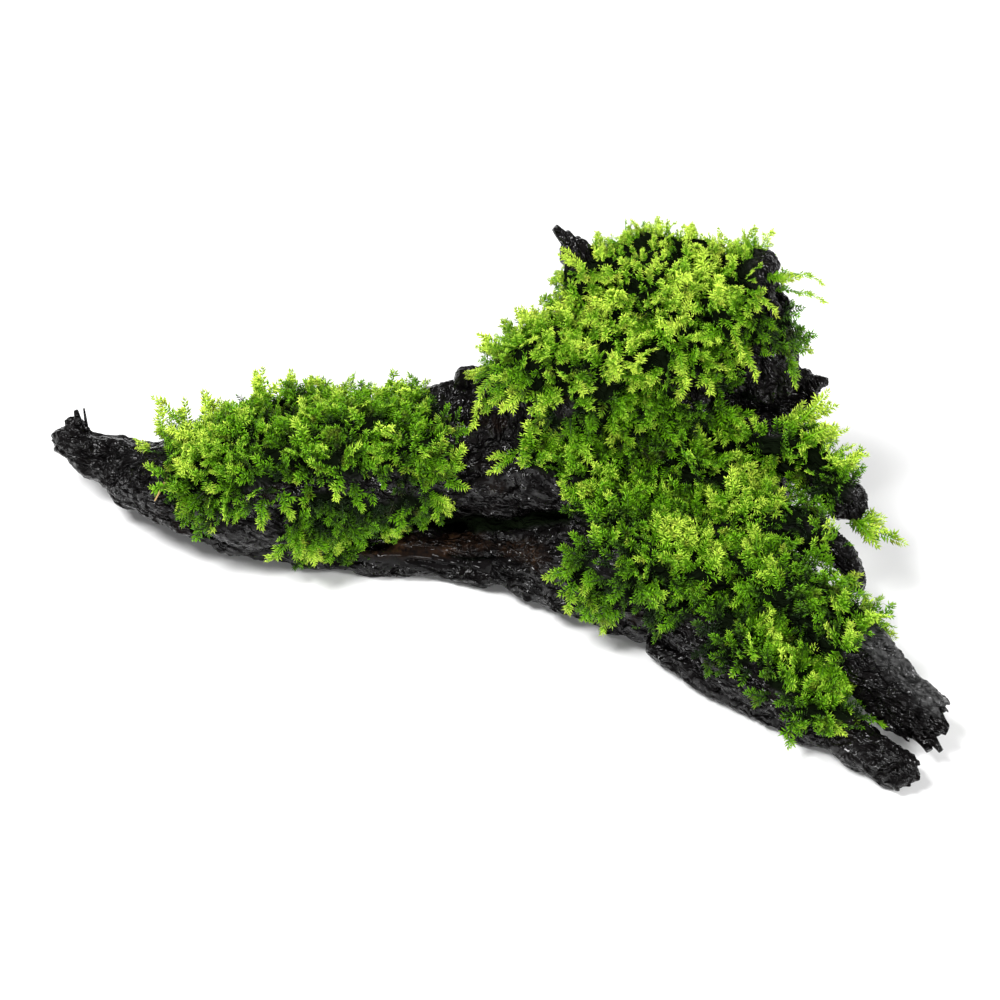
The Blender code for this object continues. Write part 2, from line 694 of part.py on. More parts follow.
def tuft_places(skin, cover, seed):
    """Seeded places on the skin inside the cover, a spacing apart: the spot, the normal and four dice."""
    mesh_points, _ = skin_arrays(skin)
    skin.calc_loop_triangles()
    corners = mesh_points[[tuple(triangle.vertices) for triangle in skin.loop_triangles]]
    flats = np.cross(corners[:, 1] - corners[:, 0], corners[:, 2] - corners[:, 0])
    areas = np.linalg.norm(flats, axis=1)
    dice = np.random.default_rng(seed)
    chosen = dice.choice(len(areas), TUFT_TRIES, p=areas / areas.sum())
    spots = corners[chosen].mean(axis=1)
    normals = flats[chosen] / areas[chosen][:, None]
    covered = in_cover(spots, cover) & (normals[:, 2] > UNDERSIDE_LIMIT)
    found = []
    for spot, normal in zip(spots[covered], normals[covered]):
        if all(np.linalg.norm(spot - other[0]) > TUFT_SPACING for other in found):
            found.append((spot, normal, dice.random(4)))
    return found


def moss_skin(skin, cover, sprays, seed, name):
    """Tapered tufts over the cover, leaning out and up, fused in one lumpy skin."""
    short, long = TUFT_LENGTH
    pegs = [mat_slab(skin, cover)]
    for spot, normal, luck in tuft_places(skin, cover, seed):
        lean = TUFT_LEAN + TUFT_SCATTER * luck[:3]
        away = normal + lean
        tip = spot + away / np.linalg.norm(away) * (short + (long - short) * luck[3])
        pegs.append(cone_mesh(spot, tip, TUFT_FOOT_RADIUS, TUFT_TIP_RADIUS))
    pegs += [cone_mesh(foot, tip, radius, TUFT_TIP_RADIUS) for foot, tip, radius in sprays]
    lumpy = roughened(fused(joined(pegs, name), MOSS_VOXEL, 1), MOSS_LUMP_PUSH, MOSS_LUMP_WIDTH, seed)
    return fused(lumpy, MOSS_VOXEL, 0)


def moss_mats(skin, wood_cutters):
    """Each moss mat by name, hollowed to fit the wood under it."""
    mats = {}
    for name, cover, sprays, seed, share in MATS:
        mat = thinned(moss_skin(skin, cover, sprays, seed, name), int(MOSS_TRIANGLES * share))
        mats[name] = booled(mat, wood_cutters, "DIFFERENCE")
    left, _ = parted(mats["left"], (MAT_LEFT_X, 0, 0), (1, 0, 0))
    _, main = parted(mats["main"], (MAT_LEFT_X, 0, 0), (1, 0, 0))
    low, crown = parted(main, (0, 0, MAT_CROWN_Z), (0, 0, 1))
    trunk, roots = parted(low, (MAT_ROOTS_X, 0, 0), (1, 0, 0))
    _, upper = parted(roots, PRONG_SLOT, PRONG_SLOT_NORMAL, PRONG_SLOT_GAP)
    lower, _ = parted(mats["prong"], PRONG_SLOT, PRONG_SLOT_NORMAL, PRONG_SLOT_GAP)
    _, lower = parted(lower, (MAT_ROOTS_X, 0, 0), (1, 0, 0))
    return {
        "moss_left_branch": left,
        "moss_crown": crown,
        "moss_trunk": trunk,
        "moss_upper_roots": upper,
        "moss_lower_prong": lower,
    }


def place(mesh, name, material, collection):
    """The finished piece as a named object, with the footprint's middle on the origin."""
    mesh.name = name
    mesh.transform(Matrix.Translation((-MIDDLE[0] * MM, -MIDDLE[1] * MM, 0.0)))
    mesh.materials.clear()
    mesh.materials.append(material)
    mesh.shade_smooth()
    mesh.set_sharp_from_angle(angle=SHARP_ANGLE)
    collection.objects.link(bpy.data.objects.new(name, mesh))


def build():
    start_clean()
    model = new_collection("moss_on_driftwood")
    bark = finish("wet_driftwood", BARK_COLOUR, BARK_ROUGHNESS)
    moss = finish("christmas_moss", MOSS_COLOUR, MOSS_ROUGHNESS)
    wood, skin, wood_cutters = wood_pieces()
    for name, mesh in wood.items():
        place(mesh, name, bark, model)
    for name, mesh in moss_mats(skin, wood_cutters).items():
        place(mesh, name, moss, model)


build()
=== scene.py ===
"""Christmas moss on driftwood: the bark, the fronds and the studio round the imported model.

The tables hold millimetres in the layout that the wood was drawn in. A finished mesh is in metres in the
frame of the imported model, with the footprint's middle on the origin: +X runs to the splayed root end, +Y to
the back and +Z up, and the floor is at Z 0.
"""

import math

import bmesh
import bpy
import numpy as np
from bpy.props import FloatProperty, FloatVectorProperty, IntProperty, PointerProperty
from mathutils import Matrix, Vector
from mathutils.bvhtree import BVHTree


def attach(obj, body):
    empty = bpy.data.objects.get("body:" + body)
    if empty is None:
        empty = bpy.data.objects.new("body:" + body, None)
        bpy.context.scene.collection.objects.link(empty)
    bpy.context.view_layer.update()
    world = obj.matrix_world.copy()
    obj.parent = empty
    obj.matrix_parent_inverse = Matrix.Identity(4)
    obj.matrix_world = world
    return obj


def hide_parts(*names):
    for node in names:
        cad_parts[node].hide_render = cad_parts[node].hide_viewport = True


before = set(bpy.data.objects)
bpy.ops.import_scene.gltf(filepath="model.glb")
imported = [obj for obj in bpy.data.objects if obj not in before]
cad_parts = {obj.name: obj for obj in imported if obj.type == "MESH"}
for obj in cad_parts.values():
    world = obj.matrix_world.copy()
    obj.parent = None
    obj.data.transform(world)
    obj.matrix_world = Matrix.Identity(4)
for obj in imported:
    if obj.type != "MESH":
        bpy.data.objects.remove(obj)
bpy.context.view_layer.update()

bl_info = {
    "name": "Christmas Moss on Driftwood",
    "version": (1, 0, 0),
    "blender": (4, 5, 0),
    "location": "3D View > Sidebar > Moss",
    "description": "Wet driftwood with mats of christmas moss, built from numpy surfaces",
    "category": "Add Mesh",
}

MM = 0.001
BODY = "root"

# The middle of the footprint, in the layout of the tables.
MIDDLE = np.array((-5.1, -9.2, 0.0))

# The limbs of the main body. A station is x, y, z, half width across the limb, half thickness.
LEFT_BRANCH = [
    (-109.6, 42.6, 13.8, 1.3, 1.1), (-106.8, 41.6, 14, 2.7, 2), (-102.5, 40, 13.6, 4.2, 3.2),
    (-95, 37, 12.2, 6.2, 5.5), (-86, 31.5, 11.2, 8.6, 7.4), (-72.4, 24.6, 13.4, 13.4, 12.8),
    (-60, 22.8, 16.4, 16.8, 16.2), (-48, 22, 19.4, 17.6, 16.8), (-38, 21.6, 22.6, 16.4, 15.4),
    (-28, 21.5, 24.5, 15.2, 13.6), (-16.5, 22, 25.4, 14.8, 13.8), (-4, 21.5, 27.4, 16, 15),
    (8, 20.5, 29, 17, 16.4), (18, 17, 27, 17, 17),
]
BRANCH_UNDERSIDE = [
    (-54, 25, 10.5, 8, 7.5), (-38, 28.5, 10, 11.5, 10.4), (-18, 31, 10.5, 13, 11.5), (0, 30, 12, 14, 13),
    (10, 27, 13, 16, 14), (20, 19, 14, 22, 15), (32, 13, 14, 24, 15), (46, 6, 14, 22, 15),
]
FRONT_LEDGE = [
    (-58, 16, 7.4, 3.6, 4.6), (-48, 13.6, 6.8, 5.6, 6.2), (-38, 14.2, 5.2, 6.2, 5.2),
    (-28, 12.8, 4.6, 6.8, 4.8), (-16.5, 12, 4.4, 7, 4.6), (-6, 9.6, 4.8, 7.2, 5), (4, 6, 5.8, 7.6, 6),
    (12, 1.6, 7.4, 8.2, 7.6), (19, -3, 10, 9, 10.2), (27, -6, 10.6, 9, 10.8),
]
TRUNK = [
    (15, 12, 22, 7, 9), (22, 4, 18, 16, 16), (32, -2, 16, 20, 17), (44, -6, 15.6, 20, 15.6),
    (54, -11, 15.6, 16, 12.6), (61, -15, 16, 10, 8.4),
]
CROWN = [
    (30, 19, -3, 33, 22), (30, 19, 12, 37, 22), (30, 19, 26, 38, 20), (31, 22, 36, 36, 17.4),
    (36, 25, 45, 31.6, 14.6), (39.6, 27.4, 53, 26.4, 12.6), (41.4, 30.2, 61, 24, 10.6),
    (42, 32, 67.6, 21.6, 8.8), (43, 32.8, 71.6, 18, 6.4), (44, 33, 73.6, 12, 3.6),
]
CROWN_COLUMN = [
    (58, 22, 36, 10, 9), (59.6, 25, 48, 9.4, 8.6), (59, 27.4, 60, 7.4, 7.6), (58, 30, 70, 6.4, 6.8),
    (58.4, 31, 75, 5.6, 6),
]
CROWN_SPUR = [
    (26, 30, 56, 6.4, 6), (21.5, 31.6, 68, 5, 4.6), (18.4, 32.8, 75, 3.4, 3.2), (16, 33.5, 78.8, 1.9, 1.9),
]
CROWN_SNAG = [
    (60, 23, 47, 7.2, 6.4), (66.4, 23.6, 47.4, 4, 3.9), (70.6, 24, 45.6, 2.6, 2.5),
    (73.2, 24, 44.8, 1.9, 1.7), (76, 24.2, 46, 1.2, 1.1),
]
SNAG_LIP = [
    (62, 22, 39.8, 5.6, 5), (68, 22.8, 42, 2.8, 2.4), (71.4, 23.6, 42.4, 1.9, 1.7),
    (73.2, 24, 40.6, 1, 0.9),
]
BARK_FLAP = [
    (8, 26, 42.6, 3.8, 3.4), (-2, 27.4, 44.2, 2.2, 1.9), (-7, 28, 43.6, 1.7, 1.5),
    (-8.8, 28, 41.4, 1.5, 1.4), (-8.6, 27.6, 38.6, 1.4, 1.4),
]
TIP_LUMP = [
    (-101, 40.4, 13.6, 2.4, 2.4), (-103.8, 41.6, 16.4, 1.9, 1.9), (-105.2, 42.4, 18.6, 1.3, 1.3),
]
LYING_LIMBS = [LEFT_BRANCH, BRANCH_UNDERSIDE, FRONT_LEDGE, TRUNK, CROWN_SNAG, SNAG_LIP, BARK_FLAP, TIP_LUMP]
STANDING_LIMBS = [CROWN, CROWN_COLUMN, CROWN_SPUR]

# The splayed roots and the sliver split off along the front.
ROOTS = {
    "upper_root": [
        (50, 17, 34, 7, 7), (60, 17, 34.4, 6.2, 6), (67.5, 14.2, 33.4, 5, 4.8), (73, 10, 31.2, 4.2, 4),
        (78.4, 5, 28.6, 3.6, 3.4), (81.6, 1.6, 26.8, 3.2, 3), (83, 0, 26, 2, 2),
    ],
    "middle_root": [
        (54, -1, 25, 7, 6.6), (64, -4.6, 26.4, 5, 4.8), (71, -8.2, 25.6, 3.7, 3.5),
        (76.2, -10.4, 23.4, 3.1, 2.9), (79.4, -12.2, 20.2, 2.8, 2.6), (81.2, -14.6, 17, 2.4, 2.3),
        (81.6, -16.2, 15.2, 1.5, 1.4),
    ],
    "upper_prong": [
        (46, -10, 17, 10, 9.4), (58, -18, 18.4, 9.6, 8.8), (67, -25.4, 18, 7.8, 7.2),
        (76.4, -34, 16.2, 6.8, 6.2), (84.4, -41.4, 13.2, 6.2, 5.2), (91, -47.4, 10.2, 6, 4.8),
        (95, -50.4, 8.6, 6, 4.4), (96.4, -51.6, 8, 4.6, 3.2),
    ],
    "lower_prong": [
        (38, -12, 12, 9, 9), (47, -22.6, 12, 8.8, 8.8), (56, -32.6, 10.6, 7.6, 7.6),
        (64, -40.8, 8.6, 6.2, 6.2), (72, -48.2, 6.4, 4.8, 4.6), (79.5, -54.8, 4.9, 4, 3.9),
        (85.6, -59.8, 4.4, 3.9, 3.7), (88.4, -62.2, 4.2, 3.4, 3.3), (89.6, -63.2, 4.2, 2.2, 2.2),
    ],
    "front_splinter": [
        (34.6, -20.4, 4.6, 0.9, 0.9), (38, -24, 4.2, 2.2, 2.3), (45.4, -30.2, 3.6, 2.6, 2.8),
        (51.6, -35, 3.4, 2.6, 2.7), (57, -39.4, 3.1, 2.2, 2.3), (64, -45, 2.8, 2.1, 2.1),
        (70.8, -50.6, 2.4, 0.9, 0.9),
    ],
}

# Fibres on the broken left tip, on the spur's tip and on the end of the upper prong: foot, top, radius.
TIP_FIBRES = [
    ((-102.6, 41, 14.5), (-103.2, 42, 23.2), 1.5), ((-100.9, 40.4, 14), (-101.2, 41.8, 24), 0.6),
]
SPUR_FIBRES = [
    ((17.2, 33.2, 76), (12.6, 34, 82.4), 2.3), ((17.6, 33.2, 75.4), (15.2, 33.8, 81.2), 2.2),
    ((18.4, 33.2, 75), (17.6, 33.6, 79.8), 2.2),
]
PRONG_FIBRES = [
    ((92.4, -51, 6.6), (94.4, -56, 5), 2.2), ((93.6, -51.4, 7), (97, -56.2, 5), 1.6),
    ((94.6, -50.4, 8.2), (98.6, -52.6, 7.4), 2.4), ((94, -48.4, 10), (98.4, -47.6, 9.6), 2.4),
]

# Hollows pressed in the skin: points along it, half width, depth.
UNDERCUT = ((-44, 8.6, 12.4), (-30, 9.4, 13), (-18, 10.6, 13.4), (-10, 9.6, 14.6))
UNDERCUT_RISE = ((-12, 9.6, 14.4), (-5, 7.6, 16.6), (1, 4.6, 19), (9.3, 1.8, 22.7), (15, -2.6, 27))
HOLLOWS = [
    (UNDERCUT, 3.6, 6.6), (UNDERCUT_RISE, 3.2, 5.4), (((57, 13, 43), (62, 16, 41)), 5, 4.6),
    (((66, 18, 44), (70, 22, 43.4)), 3.4, 2.6), (((12, 11, 41), (16, 9, 36)), 6, 3.6),
    (((2, 12, 38), (-8, 12, 30)), 4.6, 2), (((46, 20, 68), (49, 16, 52), (50, 12, 44)), 3.6, 2.4),
    (((33, 20, 66), (30, 14, 50), (24, 6, 40)), 4.4, 2.6),
    (((60, 36, 66), (62, 38, 40), (52, 40, 14)), 5, 3), (((36, 42, 64), (34, 42, 44), (20, 42, 16)), 5, 3),
    (((16, 42, 40), (-10, 38, 34), (-40, 36, 30)), 5, 2.6),
    (((-98.5, 39.5, 19), (-99.5, 37.5, 16.5)), 2.2, 0.8),
    (((-50, 8, 10), (-68, 13, 8), (-86, 25, 7)), 3, 1.8),
    (((22, -12, 20), (36, -18, 14), (46, -24, 12)), 3.4, 2),
]

# Finer creases and cavities pressed in the finished skin: points along each, half width, depth.
CREASES = [
    (UNDERCUT_RISE, 2, 2.6),
    (((-12, 6, 9), (-9.5, 5.1, 8.5), (0, 2.1, 11.1), (6, -4, 15), (11.5, -9.4, 19.9)), 1.1, 1.6),
    (((-30, 8, 6.4), (-20, 6, 6.2), (-10, 3.6, 5.6), (0, -0.6, 6.6)), 0.8, 0.9),
    (((-8.3, 3.4, 8), (-7.1, 1.7, 5.7)), 0.9, 1.1),
    (((-1, 13, 50), (2, 9, 42), (-2, 7, 34), (-9, 7, 28)), 1.3, 1.3),
    (((5, 10, 46), (7, 7, 38), (4, 4.6, 30), (-4, 4.6, 24)), 1.1, 1.2),
    (((9.6, 11.4, 51), (11, 10.4, 47)), 3, 3.6), (((56.6, 17, 46), (59.4, 15.6, 45)), 2.8, 3.6),
    (((65.4, 17, 49), (63.4, 17.4, 44)), 2.4, 3), (((53.4, 16.1, 50.4), (54, 16, 48.6)), 2.2, 2.6),
    (((69, 20.4, 44.4), (71, 21, 43.6)), 1.6, 2.4),
    (((61, 24, 76), (61.6, 19.6, 63), (60.4, 17.6, 52)), 1.5, 1.9),
    (((65, 27, 70), (66.6, 25, 59), (67, 23, 53)), 1.4, 1.6),
    (((56.4, 22.6, 72), (56, 18.6, 60), (55, 17, 54)), 1.6, 2),
    (((-104, 38, 18.6), (-96, 34.4, 16.6), (-86, 24, 17.6)), 1, 1),
    (((-92, 29, 11), (-80, 14, 13), (-66, 8, 9), (-50, 5, 10)), 0.9, 1),
]
PRONG_CREASES = [
    (((72, -34, 22.6), (80, -40, 19.6), (86, -47, 16)), 0.9, 0.9),
    (((88, -42, 17.6), (92.4, -46.4, 15.4)), 1.2, 1.4),
    (((84, -37.6, 20.4), (86.6, -38.6, 19.6)), 1.4, 1.6),
]

# The long groove over the ledge, as seen from the front: the way it faces, how far off its line it is painted
# black with shade and is plain bark again, and how far behind its line it still counts.
GROOVE_FACING = np.array((0.0, -0.77, 0.64))
GROOVE_SHADE = (1.5, 2.5)
GROOVE_REACH = 12.0

# The glossy film of water and slime along the foot of the ledge, and how wide it is.
FILM = ((-40, 10.4, 6), (-35.8, 10.1, 6.6), (-23.7, 6, 7.6), (-11.8, 4.3, 7.3), (-4, 2, 8))
FILM_WIDTH = 3.2

# The worn brown wood along the ledge, how far off its line it is brown and is bark again, and how brown the
# thin patches elsewhere are. Then how wide its fine and coarse noise are, and how brown the line is at
# least.
BROWN = ((-40, 8.6, 9.6), (-16.6, 7.8, 9.5), (-9.5, 8.8, 10), (0, 8.6, 9.6), (6, 3, 12), (11.5, -5.6, 18))
BROWN_WIDTH = (1.6, 4.4)
BROWN_PATCHES = 0.20
BROWN_FINE = 4.0
BROWN_COARSE = 13.0
BROWN_LEAST = 0.35

# The worn grey face along the upper prong, grey partly from wear and partly from painted light on its lit
# side, and how wide it is.
WEAR_AND_PAINTED_LIGHT = ((70, -24, 23), (80, -33, 19), (90, -42, 14), (95, -47, 11))
WEAR_AND_PAINTED_LIGHT_WIDTH = 7.0

# The upper prong's section is a worn square: its exponent, its size beside the ellipse's, and where a
# corner points.
CORNER_POWER = 5.0
CORNER_EASE = 0.90
PRONG_CORNER = math.radians(127)

# Where the main body parts: the left fork, and the crown above the trunk.
LEFT_FORK_X = -16.0
CROWN_FORK_Z = 40.0

# Torn ends: the end's middle, the way it points, how far back it is torn, and how deep.
BODY_ENDS = [
    ((-110, 42.8, 13.8), (-0.94, 0.34, 0), 5, 2), ((76.8, 24.2, 46.2), (1, 0, 0.1), 5, 1.8),
]
ROOT_ENDS = {
    "upper_root": [((83.4, -0.4, 25.8), (0.7, -0.6, -0.3), 4, 2.4)],
    "middle_root": [((81.8, -16.8, 14.6), (0.1, -0.6, -0.7), 3, 1.6)],
    "upper_prong": [((97.4, -52.4, 7.6), (0.72, -0.62, -0.3), 9, 5)],
    "lower_prong": [((90.4, -63.8, 4.2), (0.78, -0.62, 0), 4, 2)],
}
TORN_WIDTH = 12.0
TORN_COARSE = 1.9
TORN_FINE = 0.9

# Voxels of the drafted body, its finished skin, the roots and the form that the moss is rooted on.
DRAFT_VOXEL = 0.9
SKIN_VOXEL = 0.44
ROOT_VOXEL = 0.36
FOOTING_VOXEL = 1.3

# Edges sharper than this stay sharp in the bark's shading.
SHARP_ANGLE = math.radians(75)

# Ridges along each limb: how far one runs, how many fit round a limb, how deep, and their seed. Then the
# step from one ring of a limb to the next, and its sides.
FLUTE_LENGTH = 24.0
FLUTE_COUNT = 2.0
FLUTE_DEPTH = 0.14
FLUTE_SEED = 3
RING_STEP = 0.8
LIMB_SIDES = 96

# Lumps on a skin: how far they push it, how wide they are, and their seed.
BODY_LUMPS = (1.6, 8.0, 21)
ROOT_LUMPS = (0.8, 6.0, 33)
SMALL_LUMPS = 0.45

# The bark's torn grain: share, length and width of the fibres, and their seed. Then how far the pebbles'
# places are bent by noise and how wide that noise is, how high and how wide the wrinkles are beside the
# pebbles, and how much of the grain the pebbles hide.
GRAINS = [(1.6, 24.0, 3.4, 79), (1.0, 11.0, 1.5, 80), (0.5, 7.0, 0.8, 81)]
WARP = 0.35
WARP_WIDTH = 1.7
WRINKLE_SHARE = 0.7
WRINKLE_SIZE = 0.9
GRAIN_HIDDEN = 0.45

# How wide the patches of pebbled bark are, and the noise over which it starts.
ROUGH_WIDTH = 9.0
ROUGH = (-0.55, 0.25)

# The pebbles, in cells: how far a seed is moved, and the square of a dome's radius.
PEBBLE_SCATTER = 0.3
PEBBLE_REACH = 0.64

# Which way the grain runs along the branch and up the crown, and the heights over which it turns.
LYING_GRAIN = (1.0, -0.12, 0.1)
STANDING_GRAIN = (0.05, 0.16, 1.0)
GRAIN_TURNS = (30.0, 46.0)

# The depths pressed in the skin over which a crease turns black with painted shade.
CREASE_SHADE = (0.7, 2.0)

# The seed of each noise, and for the gaps what is added to the seed of their stretch of moss.
SEEDS = {
    "warp": 50, "pebbles": 60, "wrinkles": 64, "rough": 70, "brown_fine": 90, "brown_coarse": 91,
    "torn_coarse": 95, "torn_fine": 96, "gaps": 60,
}

# What mixes the cells of the noise lattice: a step along X, Y and Z, a step for the seed, and a scatter.
CELL_STEPS = np.array((374761393, 668265263, 2147483029))
SEED_STEP = 144269
SCATTER = 1274126177
LOW_BITS = 0xFFFF

# Moss cover: centre and half sizes of the rounded regions of wood that carry moss.
LEFT_COVER = [
    ((-60, 26, 30), (25, 20, 13)), ((-38, 23, 36), (19, 18, 15)), ((-20, 14, 33), (13, 8, 9)),
    ((-40, 9, 18), (14, 9, 11)), ((-70, 13, 23), (10, 8, 7)), ((-24, 11, 22), (10, 7, 8)),
]
MAIN_COVER = [
    ((36, 28, 68), (24, 20, 22)), ((40, 34, 72), (24, 14, 10)), ((18, 22, 56), (22, 14, 10)),
    ((28, 12, 46), (14, 12, 12)), ((13.5, 6.5, 41.5), (9.5, 9, 7)), ((36, 0, 36), (20, 20, 16)),
    ((42, -18, 24), (17, 11, 10)), ((60, 4, 37), (24, 18, 13)), ((64, -22, 24), (19, 15, 13)),
    ((56, -33, 18), (8, 7, 6)), ((66, 25, 63), (6, 6, 9)), ((55, 22, 66), (6, 8, 9)),
    ((25, -12.5, 19), (8.5, 7.5, 8.5)), ((76, -30.5, 19), (8, 7, 7)), ((72.5, -35, 17.5), (8, 7.5, 7.5)),
]
PRONG_COVER = [
    ((66, -40, 15), (8, 7, 6)), ((72.5, -47.5, 11), (7, 6, 5)),
]

# Noise that the covers' edges wander by: share and width.
COVER_EDGE = [(0.30, 7.0), (0.12, 2.5)]

# Rounded regions inside the covers that stay bare: centre and half sizes. They are the face by the left
# fork, the knots, the branch's front, the tops of the spur and the column, and the gaps between the roots.
BARE_SPOTS = [
    ((-4, 8, 38), (10, 12, 11)), ((62.5, 18, 44.5), (10, 9, 7.5)), ((-55, 6, 17), (6, 6, 8)),
    ((-76, 8, 10), (18, 14, 11)), ((16, 33, 80), (6, 8, 7)), ((63, 26, 72), (5.5, 9, 7)),
    ((-84, 14, 15), (6, 8, 6)), ((5, 16, 45), (11, 10, 5)), ((76.5, -14, 19), (7, 6, 8)),
    ((69, 3.5, 28), (5, 5, 6)),
]

# Single long sprays that stand out of the mats: foot, tip, how many fronds.
LEFT_SPRAYS = [
    ((-80, 32, 24), (-83, 35, 31.6), 2), ((-77.5, 33, 27), (-79.4, 35, 34.7), 2),
    ((-69.5, 33, 28), (-70, 35, 35.6), 3), ((-56.5, 33, 33), (-56.4, 35, 40.8), 6),
    ((-49, 33, 33.5), (-49, 35, 40.4), 2), ((-44.5, 33, 32), (-44.3, 35, 38.8), 2),
    ((-40, 33, 31), (-38.6, 35, 37.8), 2), ((-30, 32, 31), (-26.6, 34, 37.6), 3),
    ((-24, 31, 32), (-20.6, 34, 38.4), 2), ((-84, 30, 18), (-88, 30, 23), 3),
    ((-74, 14, 24), (-75, 10, 18), 4), ((-64, 9, 21), (-61, 6, 17), 5), ((-48, 5, 18), (-46, 1, 12.5), 6),
    ((-46, 6, 14), (-43.5, 1, 9.4), 7), ((-40, 7, 15), (-37, 3, 11.4), 5),
    ((-28, 9, 19), (-23, 4, 15.4), 4), ((-16, 9, 26), (-10, 5, 23.4), 4), ((-18, 12, 33), (-12, 7, 31), 4),
]
MAIN_SPRAYS = [
    ((4, 25, 50), (-4.4, 24, 57), 5), ((2, 24, 47), (-5.4, 23, 50), 5), ((10, 27, 56), (3.4, 27, 63.6), 5),
    ((4, 8, 37), (-2, 5, 35), 2), ((19, 31, 73), (13.2, 30, 78.5), 4), ((19, 30, 67), (14, 29, 71.5), 4),
    ((20, 30, 70), (16, 28, 75), 3), ((33, 34, 72), (32, 37, 79), 5), ((36, 34, 72), (36, 37, 81.6), 5),
    ((44, 34, 72), (44, 37, 79.6), 4), ((24, 31, 72), (22.5, 33, 78.6), 5),
    ((28.5, 32, 73), (28.5, 34, 78.6), 4), ((50, 33, 73), (50.5, 36, 78.6), 4),
    ((26, 26, 70), (25, 22, 75), 4), ((45, 28, 73), (46, 24, 77), 3), ((60, 26, 75.5), (66.5, 24, 74), 3),
    ((66, 15, 38), (77, 15, 46), 6), ((68, 13, 36), (78, 12, 43), 5), ((76, 8, 32), (83, 6, 37.6), 4),
    ((80, -2, 23.5), (89.3, -2, 24.2), 4), ((80, -3, 22.5), (90.6, -6, 19.8), 3),
    ((76, -30, 20), (86, -25, 18.6), 4), ((80, -34, 19), (89, -32.4, 15.6), 3),
]

# Long trailing fronds: foot, first heading, droop per millimetre.
MAIN_TRAILS = [
    ((61, 28, 73), (1, -0.10, 0.60), 0.110), ((62, 27, 70), (1, -0.20, 0.20), 0.060),
    ((0, 19, 54), (-0.45, -0.75, 0.20), 0.130), ((52, 24, 73), (0.60, -0.60, 0.30), 0.110),
    ((49, 20, 67), (0.45, -0.80, 0.20), 0.120), ((53, 20, 62), (0.50, -0.80, 0.10), 0.120),
    ((40, 18, 62), (0.10, -0.90, 0.20), 0.110), ((28, 19, 62), (-0.30, -0.90, 0.20), 0.110),
    ((-3, 22, 47), (-0.12, -0.80, -0.10), 0.050),
]
PRONG_SPRAYS = [
    ((75, -49, 9), (80, -54, 9), 2), ((72, -50, 9), (76, -56, 9), 3),
]

# A stretch of moss: its cover, sprays and trails, the least that the wood under it faces up, and its seed.
MATS = [
    ("left", LEFT_COVER, LEFT_SPRAYS, [], -0.4, 7),
    ("main", MAIN_COVER, MAIN_SPRAYS, MAIN_TRAILS, -0.1, 11),
    ("prong", PRONG_COVER, PRONG_SPRAYS, [], 0.35, 5),
]

# Painted light and shade on the moss, where it is lighter or darker than its height makes it: centre, half
# sizes, how much.
PAINTED_LIGHT_AND_SHADE_SPOTS = [
    ((-76, 33, 32), (16, 12, 9), 0.22), ((-56, 34, 40), (34, 9, 8), 0.22), ((6, 8, 38), (9, 9, 8), -0.16),
    ((27, -17, 18), (12, 10, 10), 0.14), ((-80, 20, 17), (14, 12, 8), -0.20),
    ((-38, 14, 28), (30, 15, 14), -0.24), ((18, 32, 72), (10, 10, 8), 0.14),
    ((10, 14, 46), (9, 9, 9), -0.16), ((38, 8, 43), (22, 12, 8), -0.12), ((56, 3, 38), (8, 8, 6), 0.22),
    ((64, 13, 43), (10, 8, 7), 0.16), ((79, 10, 37), (9, 9, 7), 0.26), ((84, -4, 23), (7, 8, 6), 0.18),
    ((44, -8, 33), (7, 7, 7), -0.16), ((68, -9, 28), (11, 12, 8), -0.18),
    ((72, -26, 22), (16, 14, 10), -0.22), ((52, -28, 18), (14, 12, 9), -0.14),
    ((68, -42, 13), (14, 12, 8), -0.12),
]

# A scrap of dried stem that lies on the branch: its ends, its radius, and how far it is lifted clear of the
# bark.
DRIED_STEM = ((-80.4, 15.0, 23.8), (-84.0, 12.5, 17.8))
DRIED_STEM_RADIUS = 0.42
DRIED_STEM_LIFT = np.array((0.0, -1.2, 0.9))

# How light a frond is before its own gradient, from 0 to 1: the base, then patches of noise with their share,
# width and seed, the shares of painted light for facing up and for height, of painted shade for lying low and
# for hanging on the column, and that of chance.
BASE_TONE = -0.31
TONE_PATCHES = [(0.24, 10.0, 40), (0.12, 4.0, 41)]
PAINTED_LIGHT_UPWARD = 0.16
PAINTED_LIGHT_HIGH = 0.18
PAINTED_SHADE_LOW = -0.12
PAINTED_SHADE_COLUMN = -0.14
TONE_CHANCE = 0.09

# Where those shares start and are whole: heights for high and low, and the column's places along X and Z.
HIGH = (40.0, 66.0)
LOW = (14.0, 40.0)
COLUMN_X = (58.0, 63.0)
COLUMN_Z = (46.0, 52.0)

# Where the mats part: the left one across its middle, the crown from the saddle, the saddle from the roots.
MAT_LEFT_X = -46.0
MAT_CROWN_Z = 46.0
MAT_ROOTS_X = 56.0
CROWN_SPLIT_X = 33.0

# A leaf, in millimetres: its length, how wide it is for that, where it is widest, how far its sides fold
# down, how far it leans off its shoot, and how much less it leans at the shoot's tip.
LEAF_LENGTH = 1.60
LEAF_SLENDER = 0.33
LEAF_WIDEST = 0.34
LEAF_FOLD = 0.10
LEAF_LEAN = math.radians(66)
LEAF_CLOSING = math.radians(26)

# By chance: how much a leaf's lean wanders, in radians, how far its foot is moved, and its size beside the
# usual one. Then how far the leaf at a shoot's tip stands beyond the last pair, and its size beside theirs.
LEAF_WANDER = 0.10
LEAF_SCATTER = 0.03
LEAF_SIZES = (0.85, 1.12)
TIP_STEP = 0.1
TIP_SIZE = 1.1

# A leaf's lift off the frond's plane, its spread and that of its roll, in radians.
LEAF_LIFT = 0.14
LIFT_SPREAD = 0.24
ROLL_SPREAD = 0.35

